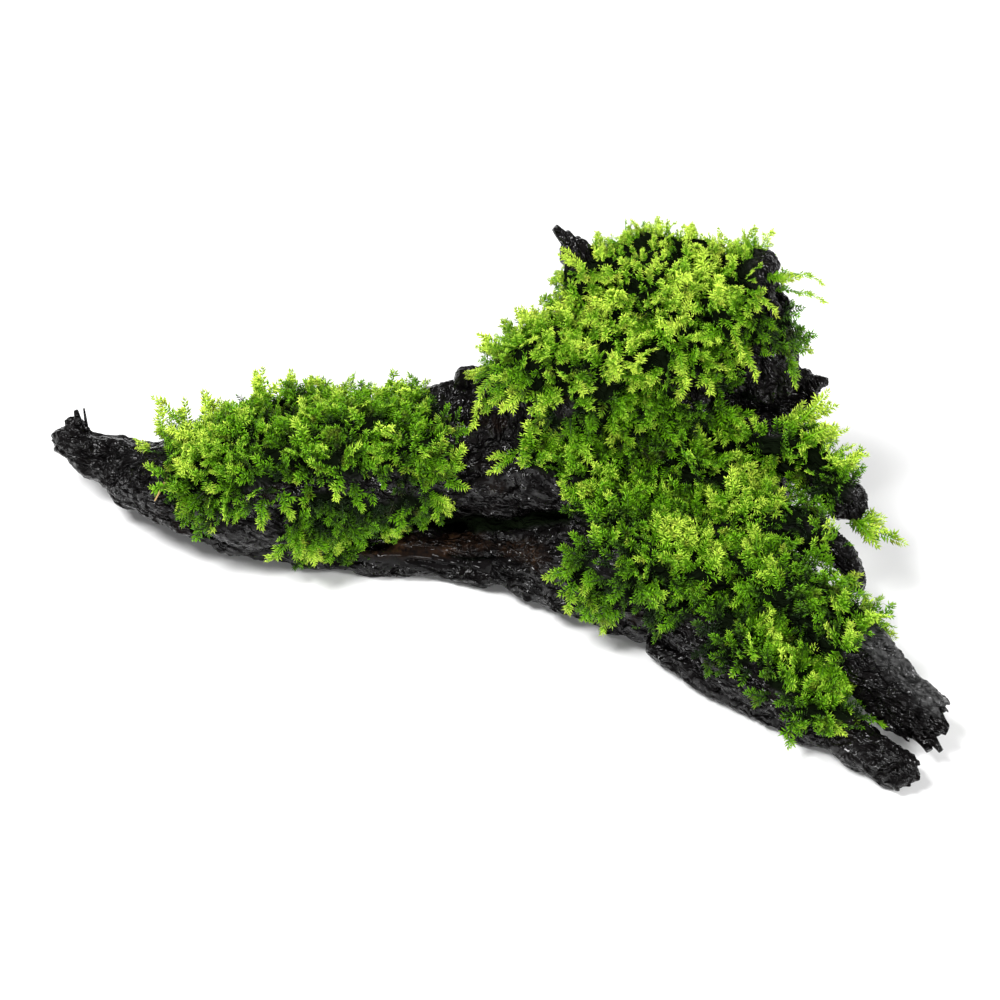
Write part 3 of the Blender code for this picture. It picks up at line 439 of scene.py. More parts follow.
# A kind of frond, in millimetres: how many are drawn, its length, the step between side shoots, the longest
# side shoot and the step between leaves.
FROND_KINDS = {
    "outer": (8, 8.2, 1.9, 3.4, 0.54),
    "fringe": (4, 7.0, 3.4, 1.8, 0.52),
    "under": (4, 5.2, 20.0, 1.0, 0.60),
    "trailing": (2, 13.0, 3.2, 2.2, 0.56),
}

# Side shoots: how far one leans off the stem, how much that wanders, in radians, its size by chance, the
# shortest, and between which shares of the frond they leave it.
SHOOT_LEAN = math.radians(46)
SHOOT_WANDER = 0.16
SHOOT_SIZES = (0.6, 1.2)
SHORTEST_SHOOT = 0.9
SHOOTS_FROM, SHOOTS_TO = 0.10, 0.84

# How light a frond is by its own gradient: a leaf at the frond's foot, how much lighter at the frond's tip
# and at its shoot's tip, and at its own foot, tip and two sides. Then rods and the stem at the foot, and how
# much lighter they are at the tip. The dark foot is painted shade deep in the mat; the light tips are young
# growth with painted light on them.
FOOT_TONE, FROND_GRADIENT, SHOOT_GRADIENT = 0.30, 0.62, 0.16
LEAF_TONES = (-0.10, 0.14, 0.0, 0.0)
ROD_TONE, ROD_GRADIENT = 0.25, 0.5
STEM_TONE, STEM_GRADIENT = 0.2, 0.5

# Stems and rods: their radius, how much thinner a stem is at its tip, and how many rings it has.
STEM_RADIUS = 0.16
STEM_THINNING = 0.7
STEM_RINGS = 6
ROD_RADIUS = 0.10

# How much side shoots droop to each side, for each millimetre.
SHOOT_DROOP = 0.05

# In a spray longer than this, every second frond starts late, so that it ends at the spray's tip.
SPRAY_LENGTH = 8.5

# How the fronds stand: their spacing in the outer and the under layer, that of the clumps, and each pull's
# share.
OUTER_SPACING = 1.95
UNDER_SPACING = 1.75
CLUMP_SPACING = 9.0
OUT_PULL = 0.62
DOWN_PULL = 0.85
SPREAD_PULL = 0.35
UP_PULL = 0.20
CREST_PULL = 0.62
CHANCE_PULL = 0.28

# How far a normal falls short of upright where wood starts to be steep and where it is steep, and how much
# of a heading points out of the wood at least.
STEEP = (0.25, 0.75)
LEAST_RISE = 0.30

# The crown's crest, where fronds stand up: the heights over which it begins, its middle and half width
# along X, how soon it ends there, the heights over which its fronds get shorter, and by what share.
CREST = (60.0, 71.0)
CREST_X = 42.0
CREST_REACH = 17.0
CREST_END = 8.0
CREST_TOP = (70.0, 77.0)
CREST_TRIM = 0.32

# How deep a frond's foot stands in the wood, the share of the outer fronds left out for gaps, how much
# painted shade darkens a frond at the edge of its clump, how much painted shade darkens the under layer, and
# how many places are tried.
FOOT_DEPTH = 0.6
GAP_SHARE = 0.18
CLUMP_SHADE = 0.30
UNDER_SHADE = 0.20
PLACE_TRIES = 9000

# The gaps in the outer layer: how wide they are, and how much sooner a frond is left out at its clump's
# edge.
GAP_WIDTH = 5.0
GAP_AT_EDGE = 0.4

# The fronds of a mat: how far their upper sides face off the wood, which way they all turn and how much by
# chance, their size beside the template's, their droop for each millimetre, and the spread of their sweep.
MAT_LIFT = 0.8
MAT_FACING = np.array((0.0, -0.25, 0.30))
MAT_TURN = 0.30
MAT_SIZES = (0.78, 1.12)
MAT_DROOP = (0.02, 0.12)
MAT_SWEEP = 0.05

# The fronds of a spray: which way their upper sides turn and how much by chance, how far their feet are
# scattered and how far they fan, their size, droop and sweep, and how much painted light brightens them where
# they point up.
SPRAY_FACING = np.array((0.0, -0.7, 0.6))
SPRAY_TURN = 0.3
SPRAY_SCATTER = 0.8
SPRAY_FAN = 0.18
SPRAY_SIZES = (0.85, 1.05)
SPRAY_DROOP = (0.01, 0.05)
SPRAY_SWEEP = 0.03
SPRAY_PAINTED_LIGHT = 0.24

# Trailing fronds: the spread of their sweep, and how light they are, as sprays are too. Then the least
# sweep, which keeps the formula of the circle from dividing by zero.
TRAIL_SWEEP = 0.02
TRAIL_TONE = 0.02
LEAST_SWEEP = 1e-4

# Patterns of noise in the materials: how fine, for each metre, its detail and roughness, and where its
# colours start and end.
PATTERNS = {
    "mottle": (420.0, 5.0, 0.55, 0.30, 0.70),
    "heartwood": (900.0, 4.0, 0.55, 0.35, 0.70),
    "scratches": (700.0, 4.0, 0.55, 0.40, 0.70),
    "wet": (160.0, 3.0, 0.55, 0.35, 0.65),
    "wrinkled": (90.0, 2.0, 0.55, 0.38, 0.60),
    "specks": (620.0, 1.0, 0.60, 0.40, 0.60),
    "olive": (260.0, 2.0, 0.55, 0.56, 0.72),
}

# What those patterns run between on the bark, where the scratched greys are partly painted light, and what it
# is under moss, in the groove and in the creases, where the near-black colour and low sheen are painted
# shade, and under the film of water.
BARK_MOTTLE = (0.5, 1.7)
SCRATCH_AND_PAINTED_LIGHT_GREYS = (0.012, 0.085)
WRINKLED = (0.55, 1.0)
WET_ROUGHNESS = (0.06, 0.14)
SPECK_SHEEN = (0.03, 0.28)
PAINTED_SHADE_COLOUR = (0.003, 0.005, 0.002, 1.0)
DULL_ROUGHNESS = 0.85
PAINTED_SHADE_SHEEN = 0.01
FILM_ROUGHNESS = 0.04
FILM_SHEEN = 0.10

# The bark's bumps: how fine, for each metre, and how deep, in metres. Then how its folds are bent and
# squeezed.
PORE_SCALE, PORE_DEPTH = 1300.0, 0.00006
FOLD_SCALE, FOLD_DEPTH = 290.0, 0.0007
WRINKLE_SCALE, WRINKLE_DEPTH = 650.0, 0.0005
BEND_SCALE, BEND = 240.0, 0.003
SQUEEZE = 0.5

# The moss: where its five tones lie, its olive patches and how strong they are, and the leaves' finish.
TONE_STOPS = (0.0, 0.28, 0.52, 0.78, 1.0)
OLIVE = [(0.0, (0.016, 0.014, 0.004)), (0.6, (0.13, 0.16, 0.010)), (1.0, (0.45, 0.50, 0.05))]
OLIVE_SHARES = (0.0, 0.8)
LEAF_ROUGHNESS = 0.42
LEAF_SHEEN = 0.24
DRIED_COLOUR = (0.42, 0.27, 0.10)
DRIED_ROUGHNESS = 0.6

# The stage: the floor's radius, how far it lies below the piece and its finish, how bright the world is
# from below to above, and the softboxes with place, width, height and share of the key light's power.
FLOOR_RADIUS = 4.0
FLOOR_DROP = 0.0002
FLOOR_ROUGHNESS = 0.9
WORLD = [(0.0, 0.30), (0.50, 0.22), (1.0, 0.18)]
SOFTBOX_AIM = (0.0, 0.0, 0.03)
SOFTBOXES = {
    "key_softbox": ((-0.35, -0.20, 0.75), 0.26, 0.26, 1.0),
    "right_softbox": ((0.50, -0.35, 0.50), 0.20, 0.20, 0.45),
    "back_softbox": ((0.0, 0.65, 0.55), 0.60, 0.08, 0.28),
    "front_softbox": ((-0.10, -0.70, 0.20), 0.40, 0.05, 0.22),
}

# The camera: what it aims at, in the layout, how far it looks down, how far off it is, the width of one
# pixel at that distance, the picture's width in pixels and the sensor's width.
CAMERA_AIM = (0.0, 0.0, 30.0)
CAMERA_ELEVATION = math.radians(40)
CAMERA_DISTANCE = 620.0
PIXEL = 0.23
PICTURE = 1000
SENSOR = 36.0


def length_setting(name, description, default):
    return FloatProperty(name=name, description=description, default=default, unit="LENGTH")


def colour_setting(name, description, default):
    return FloatVectorProperty(name=name, description=description, subtype="COLOR", size=3, default=default)


class WoodSettings(bpy.types.PropertyGroup):
    pebble_height: length_setting("Pebble Height", "How far the pebbles stand out", 0.00032)
    pebble_size: length_setting("Pebble Size", "Width of one pebble of bark", 0.0016)
    grain_height: length_setting("Grain Height", "How far the torn grain stands out", 0.00050)
    bark: colour_setting("Bark", "Colour of the wet bark", (0.0030, 0.0026, 0.0027))
    heartwood: colour_setting("Heartwood", "Colour of the worn brown wood", (0.048, 0.024, 0.012))


class MossSettings(bpy.types.PropertyGroup):
    frond_budget: IntProperty(
        name="Triangles a Mat", description="Most triangles that one mat may have", default=190000, min=1000
    )
    # The dark leaves' colour is painted shade deep in the mat.
    dark: colour_setting("Dark Leaves", "Leaves deep in the mat", (0.006, 0.018, 0.002))
    green: colour_setting("Green Leaves", "Grown leaves", (0.150, 0.405, 0.004))
    lime: colour_setting("Young Leaves", "Leaves at the tips", (0.640, 0.880, 0.085))


class StageSettings(bpy.types.PropertyGroup):
    floor: colour_setting("Floor", "Colour of the floor", (0.82, 0.82, 0.82))
    key_power: FloatProperty(name="Key Light", description="Power of the softbox", default=9.5, unit="POWER")


def settings():
    return bpy.context.scene.moss_driftwood


def value_noise(points, seed):
    """Smooth noise from -1 to 1: each lattice corner's value, mixed by w = 3t^2 - 2t^3 along each axis."""
    cell = np.floor(points).astype(np.int64)
    part = points - cell
    fade = part * part * (3.0 - 2.0 * part)
    total = np.zeros(len(points))
    for corner in np.ndindex(2, 2, 2):
        mixed = (cell + np.array(corner)) @ CELL_STEPS + seed * SEED_STEP
        mixed = (mixed ^ (mixed >> 13)) * SCATTER
        value = ((mixed ^ (mixed >> 16)) & LOW_BITS) * (2.0 / LOW_BITS) - 1.0
        weight = np.prod(np.where(corner, fade, 1.0 - fade), axis=1)
        total += value * weight
    return total


def pebbles(points, seed):
    """Rounded domes from 0 to 1: 1 - (d / radius)^2, with d to the nearest of one scattered seed a cell."""
    low = np.floor(points - 0.5)
    nearest = np.full(len(points), np.inf)
    for corner in np.ndindex(2, 2, 2):
        cell = low + np.array(corner)
        jitter = np.stack([value_noise(cell, seed + axis) for axis in range(3)], axis=1)
        away = cell + 0.5 + PEBBLE_SCATTER * jitter - points
        nearest = np.minimum(nearest, (away**2).sum(axis=1))
    return np.clip(1.0 - nearest / PEBBLE_REACH, 0.0, 1.0)


def smooth_step(value, low, high):
    """0 below low, 1 above high, and 3t^2 - 2t^3 between."""
    t = np.clip((value - low) / (high - low), 0.0, 1.0)
    return t * t * (3.0 - 2.0 * t)


def unit(vectors):
    return vectors / np.linalg.norm(vectors, axis=-1, keepdims=True)


def through(stations, step):
    """Catmull-Rom curve through the stations, with a ring about every step."""
    known = np.array(stations, float)
    padded = np.vstack([2 * known[0] - known[1], known, 2 * known[-1] - known[-2]])
    rows = []
    for before, start, end, after in zip(padded, padded[1:], padded[2:], padded[3:]):
        count = max(2, round(np.linalg.norm(end[:3] - start[:3]) / step))
        t = (np.arange(count) / count)[:, None]
        square = (2 * before - 5 * start + 4 * end - after) * t**2
        cube = (3 * start - before - 3 * end + after) * t**3
        rows.append(0.5 * (2 * start + (end - before) * t + (square + cube)))
    return np.vstack([*rows, known[-1]])


def tube_faces(rings, sides):
    """Triangles of a tube of rings, with a pole point after its last ring for each end."""
    ring, side = np.meshgrid(np.arange(rings - 1), np.arange(sides), indexing="ij")
    here = ring * sides + side
    beside = ring * sides + (side + 1) % sides
    walls = [np.stack([here, beside, beside + sides], -1), np.stack([here, beside + sides, here + sides], -1)]
    first = np.arange(sides)
    after = (first + 1) % sides
    top = (rings - 1) * sides
    pole = rings * sides
    ends = [
        np.stack([np.full(sides, pole), after, first], -1),
        np.stack([np.full(sides, pole + 1), top + first, top + after], -1),
    ]
    return np.vstack([part.reshape(-1, 3) for part in walls + ends])


def limb_surface(stations, upright=False, corner=None):
    """A limb's skin: C(s) + F(s, a) (w(s) cos a A(s) + t(s) sin a O(s)).

    C is the smooth curve through the stations, w and t its half width and half thickness, A and O its two
    cross directions, a the angle round it, and F = 1 + depth (0.5 - 2 |noise|), which makes creased ridges
    along it. With a corner, F is also times (|cos b|^p + |sin b|^p)^(-1/p), a worn square turned until a
    corner points there.
    """
    rings = through(stations, RING_STEP)
    centre, wide, thick = rings[:, :3], rings[:, 3], rings[:, 4]
    along = unit(np.gradient(centre, axis=0))
    hint = np.array([0.0, 1.0, 0.0] if upright else [0.0, 0.0, 1.0])
    across = unit(np.cross(hint, along))
    over = np.cross(along, across)
    angle = 2 * math.pi * np.arange(LIMB_SIDES) / LIMB_SIDES
    run = np.concatenate([[0], np.cumsum(np.linalg.norm(np.diff(centre, axis=0), axis=1))])
    turned = FLUTE_COUNT * np.cos(angle), FLUTE_COUNT * np.sin(angle)
    flute = np.stack(np.broadcast_arrays(run[:, None] / FLUTE_LENGTH, *turned), axis=-1)
    crease = np.abs(value_noise(flute.reshape(-1, 3) + centre[0], FLUTE_SEED)).reshape(len(run), LIMB_SIDES)
    swell = 1.0 + FLUTE_DEPTH * (0.5 - 2.0 * crease)
    if corner is not None:
        turned = angle - corner + math.pi / 4
        power = np.abs(np.cos(turned)) ** CORNER_POWER + np.abs(np.sin(turned)) ** CORNER_POWER
        swell = swell * CORNER_EASE * power ** (-1.0 / CORNER_POWER)
    points = (
        centre[:, None]
        + (swell * np.cos(angle) * wide[:, None])[..., None] * across[:, None]
        + (swell * np.sin(angle) * thick[:, None])[..., None] * over[:, None]
    )
    ends = centre[0] - along[0] * wide[0] * 0.5, centre[-1] + along[-1] * wide[-1] * 0.5
    return np.vstack([points.reshape(-1, 3), *ends]), tube_faces(len(run), LIMB_SIDES)


def peg_surface(foot, tip, radius, sides=9, rings=10):
    """A torn fibre: foot + t (tip - foot) + r(t) (cos a A + sin a B), with r thinning to about a third."""
    foot, tip = np.array(foot), np.array(tip)
    axis = unit(tip - foot)
    first = unit(np.cross(axis, (0.3, 0.9, 0.2)))
    second = np.cross(axis, first)
    t = np.linspace(-0.2, 1.0, rings)[:, None, None]
    angle = (2 * math.pi * np.arange(sides) / sides)[None, :, None]
    thin = radius * (1.0 - 0.62 * np.clip(t, 0, 1)) * (1.0 + 0.16 * np.cos(3 * angle + 4 * t))
    points = foot + t * (tip - foot) + thin * (np.cos(angle) * first + np.sin(angle) * second)
    ends = foot - 0.22 * (tip - foot), tip + 0.02 * (tip - foot)
    return np.vstack([points.reshape(-1, 3), *ends]), tube_faces(rings, sides)


def stacked(parts):
    """Several shells' points and triangles as one pair of arrays."""
    starts = np.cumsum([0] + [len(points) for points, _ in parts])
    return np.vstack([points for points, _ in parts]), np.vstack([f + n for (_, f), n in zip(parts, starts)])


def new_mesh(name, points, triangles):
    mesh = bpy.data.meshes.new(name)
    mesh.vertices.add(len(points))
    mesh.vertices.foreach_set("co", points.astype(np.float32).ravel())
    mesh.loops.add(triangles.size)
    mesh.loops.foreach_set("vertex_index", triangles.astype(np.int32).ravel())
    mesh.polygons.add(len(triangles))
    mesh.polygons.foreach_set("loop_start", np.arange(0, triangles.size, 3, dtype=np.int32))
    mesh.update(calc_edges=True)
    return mesh


def skin_arrays(mesh):
    """The mesh's points and normals."""
    points = np.empty(len(mesh.vertices) * 3)
    normals = np.empty(len(mesh.vertices) * 3)
    mesh.vertices.foreach_get("co", points)
    mesh.vertices.foreach_get("normal", normals)
    return points.reshape(-1, 3), normals.reshape(-1, 3)


def moved(mesh, points):
    mesh.vertices.foreach_set("co", points.astype(np.float32).ravel())
    mesh.update()
    return mesh


def shaped(mesh, steps):
    """The mesh after these modifiers, each a type and its settings."""
    holder = bpy.data.objects.new("holder", mesh)
    bpy.context.scene.collection.objects.link(holder)
    for kind, values in steps:
        modifier = holder.modifiers.new(kind, kind)
        for key, value in values.items():
            setattr(modifier, key, value)
    bpy.context.view_layer.update()
    graph = bpy.context.evaluated_depsgraph_get()
    made = bpy.data.meshes.new_from_object(holder.evaluated_get(graph))
    bpy.data.objects.remove(holder)
    return made


def fused(mesh, voxel, smoothing):
    """Overlapping shells made one skin on a voxel grid, then eased."""
    remesh = ("REMESH", {"mode": "VOXEL", "voxel_size": voxel})
    ease = ("SMOOTH", {"factor": 0.5, "iterations": smoothing})
    return shaped(mesh, [remesh, ease])


def roughened(mesh, push, width, seed):
    """Lumps and pits: p + n push (N(p / width) + N(p / (0.45 width)) / 2)."""
    points, normals = skin_arrays(mesh)
    lumps = value_noise(points / width, seed) + 0.5 * value_noise(points / (SMALL_LUMPS * width), seed + 1)
    return moved(mesh, points + normals * (lumps * push)[:, None])


def near_line(points, line):
    """The distance from each point to a polyline."""
    away = np.full(len(points), np.inf)
    for start, end in zip(line, line[1:]):
        run = end - start
        share = np.clip((points - start) @ run / (run @ run), 0.0, 1.0)
        away = np.minimum(away, np.linalg.norm(points - start - share[:, None] * run, axis=1))
    return away


def laid_on(mesh, spots):
    """The nearest point of the mesh to each spot."""
    tree = BVHTree.FromPolygons([v.co for v in mesh.vertices], [tuple(p.vertices) for p in mesh.polygons])
    return np.array([tree.find_nearest(Vector(spot))[0] for spot in spots])


def carved(mesh, hollows):
    """Hollows pressed in: p - n depth (1 - (d / half width)^2)^2, with d from the line laid on the skin."""
    tree = BVHTree.FromPolygons([v.co for v in mesh.vertices], [tuple(p.vertices) for p in mesh.polygons])
    points, normals = skin_arrays(mesh)
    press = np.zeros(len(points))
    for line, half_width, depth in hollows:
        laid = [np.array(tree.find_nearest(Vector(point))[0]) for point in line]
        share = np.clip(1.0 - (near_line(points, laid) / half_width) ** 2, 0.0, 1.0)
        press = np.maximum(press, depth * share**2)
    mesh.attributes.new("pressed", "FLOAT", "POINT").data.foreach_set("value", press.astype(np.float32))
    return moved(mesh, points - normals * press[:, None])


def body_form(voxel):
    """The left branch, trunk, ledge and crown in one drafted skin, in layout millimetres."""
    limbs = [limb_surface(stations) for stations in LYING_LIMBS]
    limbs += [limb_surface(stations, upright=True) for stations in STANDING_LIMBS]
    skin = fused(new_mesh("body", *stacked(limbs)), max(voxel, DRAFT_VOXEL), 1)
    return carved(roughened(skin, *BODY_LUMPS), HOLLOWS)


def root_form(name, voxel):
    """One root's drafted skin, in layout millimetres."""
    corner = PRONG_CORNER if name == "upper_prong" else None
    skin = fused(new_mesh("root", *limb_surface(ROOTS[name], corner=corner)), voxel, 1)
    return roughened(skin, *ROOT_LUMPS)


def grain(points, heading, length, width, seed):
    """Creased fibres along a heading: 1 - 2 |noise| of the point in lengths along it and widths across."""
    heading = unit(np.array(heading, float))
    side = unit(np.cross(heading, (0.31, 0.52, 0.79)))
    other = np.cross(heading, side)
    turned = np.stack([points @ heading / length, points @ side / width, points @ other / width], axis=1)
    return 1.0 - 2.0 * np.abs(value_noise(turned, seed))


def bark_relief(points, heading_of):
    """How far the bark stands out, in millimetres: pebbles and wrinkles, with torn grain along each limb."""
    wood = settings().wood
    size = wood.pebble_size / MM
    bends = [value_noise(points / WARP_WIDTH, SEEDS["warp"] + axis) for axis in range(3)]
    warp = WARP * np.stack(bends, axis=1)
    domes = pebbles((points + warp) / size, SEEDS["pebbles"])
    wrinkle = value_noise((points + 2 * warp) / (WRINKLE_SIZE * size), SEEDS["wrinkles"])
    wrinkle = 1.0 - 2.0 * np.abs(wrinkle)
    rough = smooth_step(value_noise(points / ROUGH_WIDTH, SEEDS["rough"]), *ROUGH)
    fibres = sum(
        weight * sum(share * grain(points, way, *shape) for share, *shape in GRAINS)
        for way, weight in heading_of(points)
    )
    proud = wood.pebble_height / MM * rough * (domes + WRINKLE_SHARE * wrinkle)
    return proud + wood.grain_height / MM * fibres * (1.0 - GRAIN_HIDDEN * rough)


def body_headings(points):
    """The grain's heading over the body: along the branch, and up the crown."""
    upward = smooth_step(points[:, 2], *GRAIN_TURNS)
    return [(LYING_GRAIN, 1.0 - upward), (STANDING_GRAIN, upward)]


def cut(mesh, point, normal):
    """The part of the mesh behind the plane, closed where it was cut."""
    work = bmesh.new()
    work.from_mesh(mesh)
    geometry = work.verts[:] + work.edges[:] + work.faces[:]
    bmesh.ops.bisect_plane(work, geom=geometry, dist=1e-5, plane_co=point, plane_no=normal, clear_outer=True)
    capped = bmesh.ops.holes_fill(work, edges=[edge for edge in work.edges if edge.is_boundary], sides=0)
    bmesh.ops.triangulate(work, faces=capped["faces"])
    made = bpy.data.meshes.new("cut")
    work.to_mesh(made)
    work.free()
    return made


def joined(meshes):
    """One mesh holding all of these, still as separate shells."""
    work = bmesh.new()
    for mesh in meshes:
        work.from_mesh(mesh)
    made = bpy.data.meshes.new("joined")
    work.to_mesh(made)
    work.free()
    return made


def with_fibres(mesh, fibres):
    return joined([mesh, new_mesh("fibres", *stacked([peg_surface(*fibre) for fibre in fibres]))])


def placed(mesh):
    """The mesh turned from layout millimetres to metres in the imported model's frame."""
    mesh.transform(Matrix.Scale(MM, 4) @ Matrix.Translation(Vector(-MIDDLE)))
    return mesh


def show(mesh, name, material, nodes):
    """A finished mesh as a piece that rides on the body and stands for its nodes."""
    mesh.name = name
    mesh.materials.clear()
    mesh.materials.append(material)
    piece = bpy.data.objects.new(name, mesh)
    bpy.context.scene.collection.objects.link(piece)
    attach(piece, BODY)
    if nodes:
        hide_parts(*nodes)
    return piece


def brown_share(points):
    """Where worn wood shows brown: in a band along the ledge, and thinly in noisy patches."""
    near = 1.0 - smooth_step(near_line(points, np.array(BROWN)), *BROWN_WIDTH)
    patch = smooth_step(value_noise(points / BROWN_FINE, SEEDS["brown_fine"]), -0.2, 0.7)
    thin = smooth_step(value_noise(points / BROWN_COARSE, SEEDS["brown_coarse"]), 0.25, 0.8)
    band = near * (BROWN_LEAST + (1.0 - BROWN_LEAST) * patch)
    return np.clip(band + BROWN_PATCHES * thin * patch, 0.0, 1.0)


def barked(mesh, heading_of, ends=()):
    """The finished bark on a drafted skin: relief along the normals, torn ends, and its colour shares,
    painted shade and painted light among them.
    """
    points, normals = skin_arrays(mesh)
    film = 1.0 - smooth_step(near_line(points, np.array(FILM)), 0.6 * FILM_WIDTH, FILM_WIDTH)
    # Painted shade: the wood among the moss, in the long groove and in the deep creases is painted near
    # black.
    painted_shade_share = np.maximum.reduce([moss_shade_share(points), groove_shade_share(points), crease_shade_share(mesh)])
    upright = sum(weight * abs(unit(np.array(way, float))[2]) for way, weight in heading_of(points))
    # The worn face of the upper prong: grey partly from wear and partly from painted light.
    wear_and_painted_light = 1.0 - smooth_step(near_line(points, np.array(WEAR_AND_PAINTED_LIGHT)), 0.5 * WEAR_AND_PAINTED_LIGHT_WIDTH, WEAR_AND_PAINTED_LIGHT_WIDTH)
    marks = {"brown": brown_share(points), "painted_shade": painted_shade_share, "film": film, "wear_and_painted_light": wear_and_painted_light}
    marks["upright"] = upright + np.zeros(len(points))
    points = points + normals * (bark_relief(points, heading_of) * (1.0 - film))[:, None]
    for end, way, reach, depth in ends:
        points = torn(points, np.array(end), unit(np.array(way, float)), reach, depth)
    moved(mesh, points)
    for name, values in marks.items():
        mesh.attributes.new(name, "FLOAT", "POINT").data.foreach_set("value", values.astype(np.float32))
    return mesh


def groove_shade_share(points):
    """How black the painted shade in the long groove is: 1 within its width, with distances taken across the
    way that it faces.
    """
    groove = np.array(UNDERCUT + UNDERCUT_RISE[1:])
    flat = [spots - (spots @ GROOVE_FACING)[:, None] * GROOVE_FACING for spots in (points, groove)]
    return (1.0 - smooth_step(near_line(*flat), *GROOVE_SHADE)) * (near_line(points, groove) < GROOVE_REACH)


def crease_shade_share(mesh):
    """How dark the painted shade in the creases pressed in last is: 0 on the skin, 1 from well under it."""
    pressed = np.zeros(len(mesh.vertices))
    if "pressed" in mesh.attributes:
        mesh.attributes["pressed"].data.foreach_get("value", pressed)
    return smooth_step(pressed, *CREASE_SHADE)


def moss_shade_share(points):
    """How much painted shade darkens the wood among the moss: inside the moss covers, outside the bare spots.
    """
    inside = deep_in(points, LEFT_COVER + MAIN_COVER + PRONG_COVER)
    return smooth_step(inside, -0.15, 0.25) * (1.0 - smooth_step(deep_in(points, BARE_SPOTS), -0.2, 0.2))


def torn(points, end, way, reach, depth):
    """A torn end: p - way depth m(s) (1 + N(q / width)) / 2, with s along the way and q across it.

    The step m(s) rises to 1 at the end. The columns of wood between high and low noise end at different
    lengths, as broken fibres do.
    """
    along = (points - end) @ way
    near = np.linalg.norm(points - end - along[:, None] * way, axis=1) < TORN_WIDTH
    across = points - along[:, None] * way
    column = 0.7 * value_noise(across / TORN_COARSE, SEEDS["torn_coarse"])
    column = column + 0.5 * value_noise(across / TORN_FINE, SEEDS["torn_fine"])
    back = depth * smooth_step(along, -reach, 0.0) * np.clip(0.5 + column, 0.0, 1.2) * near
    return points - back[:, None] * way


def smooth_shaded(mesh):
    mesh.shade_smooth()
    mesh.set_sharp_from_angle(angle=SHARP_ANGLE)
    return mesh


def leaf_points(base, turn, length, tilt, roll, width):
    """Closed four-cornered leaves: foot, tip, and two sides at the widest place, folded down like a roof.

    A leaf heads at the angle turn in the frond's plane and lifts off it by tilt. Its sides lean by roll.
    """
    heading = np.stack([np.cos(turn) * np.cos(tilt), np.sin(turn) * np.cos(tilt), np.sin(tilt)], -1)
    flat = np.stack([-np.sin(turn), np.cos(turn), np.zeros_like(turn)], -1)
    lift = np.cross(heading, flat)
    side = flat * np.cos(roll)[:, None] + lift * np.sin(roll)[:, None]
    over = np.cross(heading, side)
    size = length[:, None]
    middle = base + heading * LEAF_WIDEST * size - over * LEAF_FOLD * size
    half = side * (0.5 * width[:, None])
    return np.stack([base, base + heading * size, middle - half, middle + half], axis=1)


LEAF_FACES = np.array([(0, 1, 3), (0, 2, 1), (0, 3, 2), (1, 2, 3)])


def shoot_leaves(start, turn, length, step, dice):
    """Leaves in two rows along a shoot and one at its tip: foot, heading, length and share of the way.

    A leaf's length is the usual one times 0.80 + 0.55 s - 0.85 s^3, fullest a little before the middle.
    """
    count = max(3, round(length / step))
    share = (np.arange(count) + 0.35) / count
    along = np.array([math.cos(turn), math.sin(turn), 0.0])
    base = np.array(start) + share[:, None] * length * along
    size = LEAF_LENGTH * (0.80 + 0.55 * share - 0.85 * share**3)
    rows = []
    for hand in (-1, 1):
        lean = turn + hand * (LEAF_LEAN - LEAF_CLOSING * share + dice.normal(0.0, LEAF_WANDER, count))
        foot = base + dice.normal(0, LEAF_SCATTER, (count, 3))
        rows.append((foot, lean, size * dice.uniform(*LEAF_SIZES, count), share))
    tip = (base[-1:] + TIP_STEP * along, np.array([turn]), size[-1:] * TIP_SIZE, share[-1:])
    return [np.concatenate(column) for column in zip(*rows, tip)]


def side_shoots(length, step, longest, dice, first_hand):
    """A frond's side shoots, to each side in turn: where they leave it, at what angle, and how long."""
    place = np.arange(SHOOTS_FROM * length, SHOOTS_TO * length, step)
    share = place / length
    hand = first_hand * (-1) ** np.arange(len(place))
    turn = hand * (SHOOT_LEAN + dice.normal(0, SHOOT_WANDER, len(place)))
    reach = longest * np.minimum(1.0, 0.7 + 1.5 * share) * (1.10 - share)
    return place, turn, np.maximum(reach * dice.uniform(*SHOOT_SIZES, len(place)), SHORTEST_SHOOT)


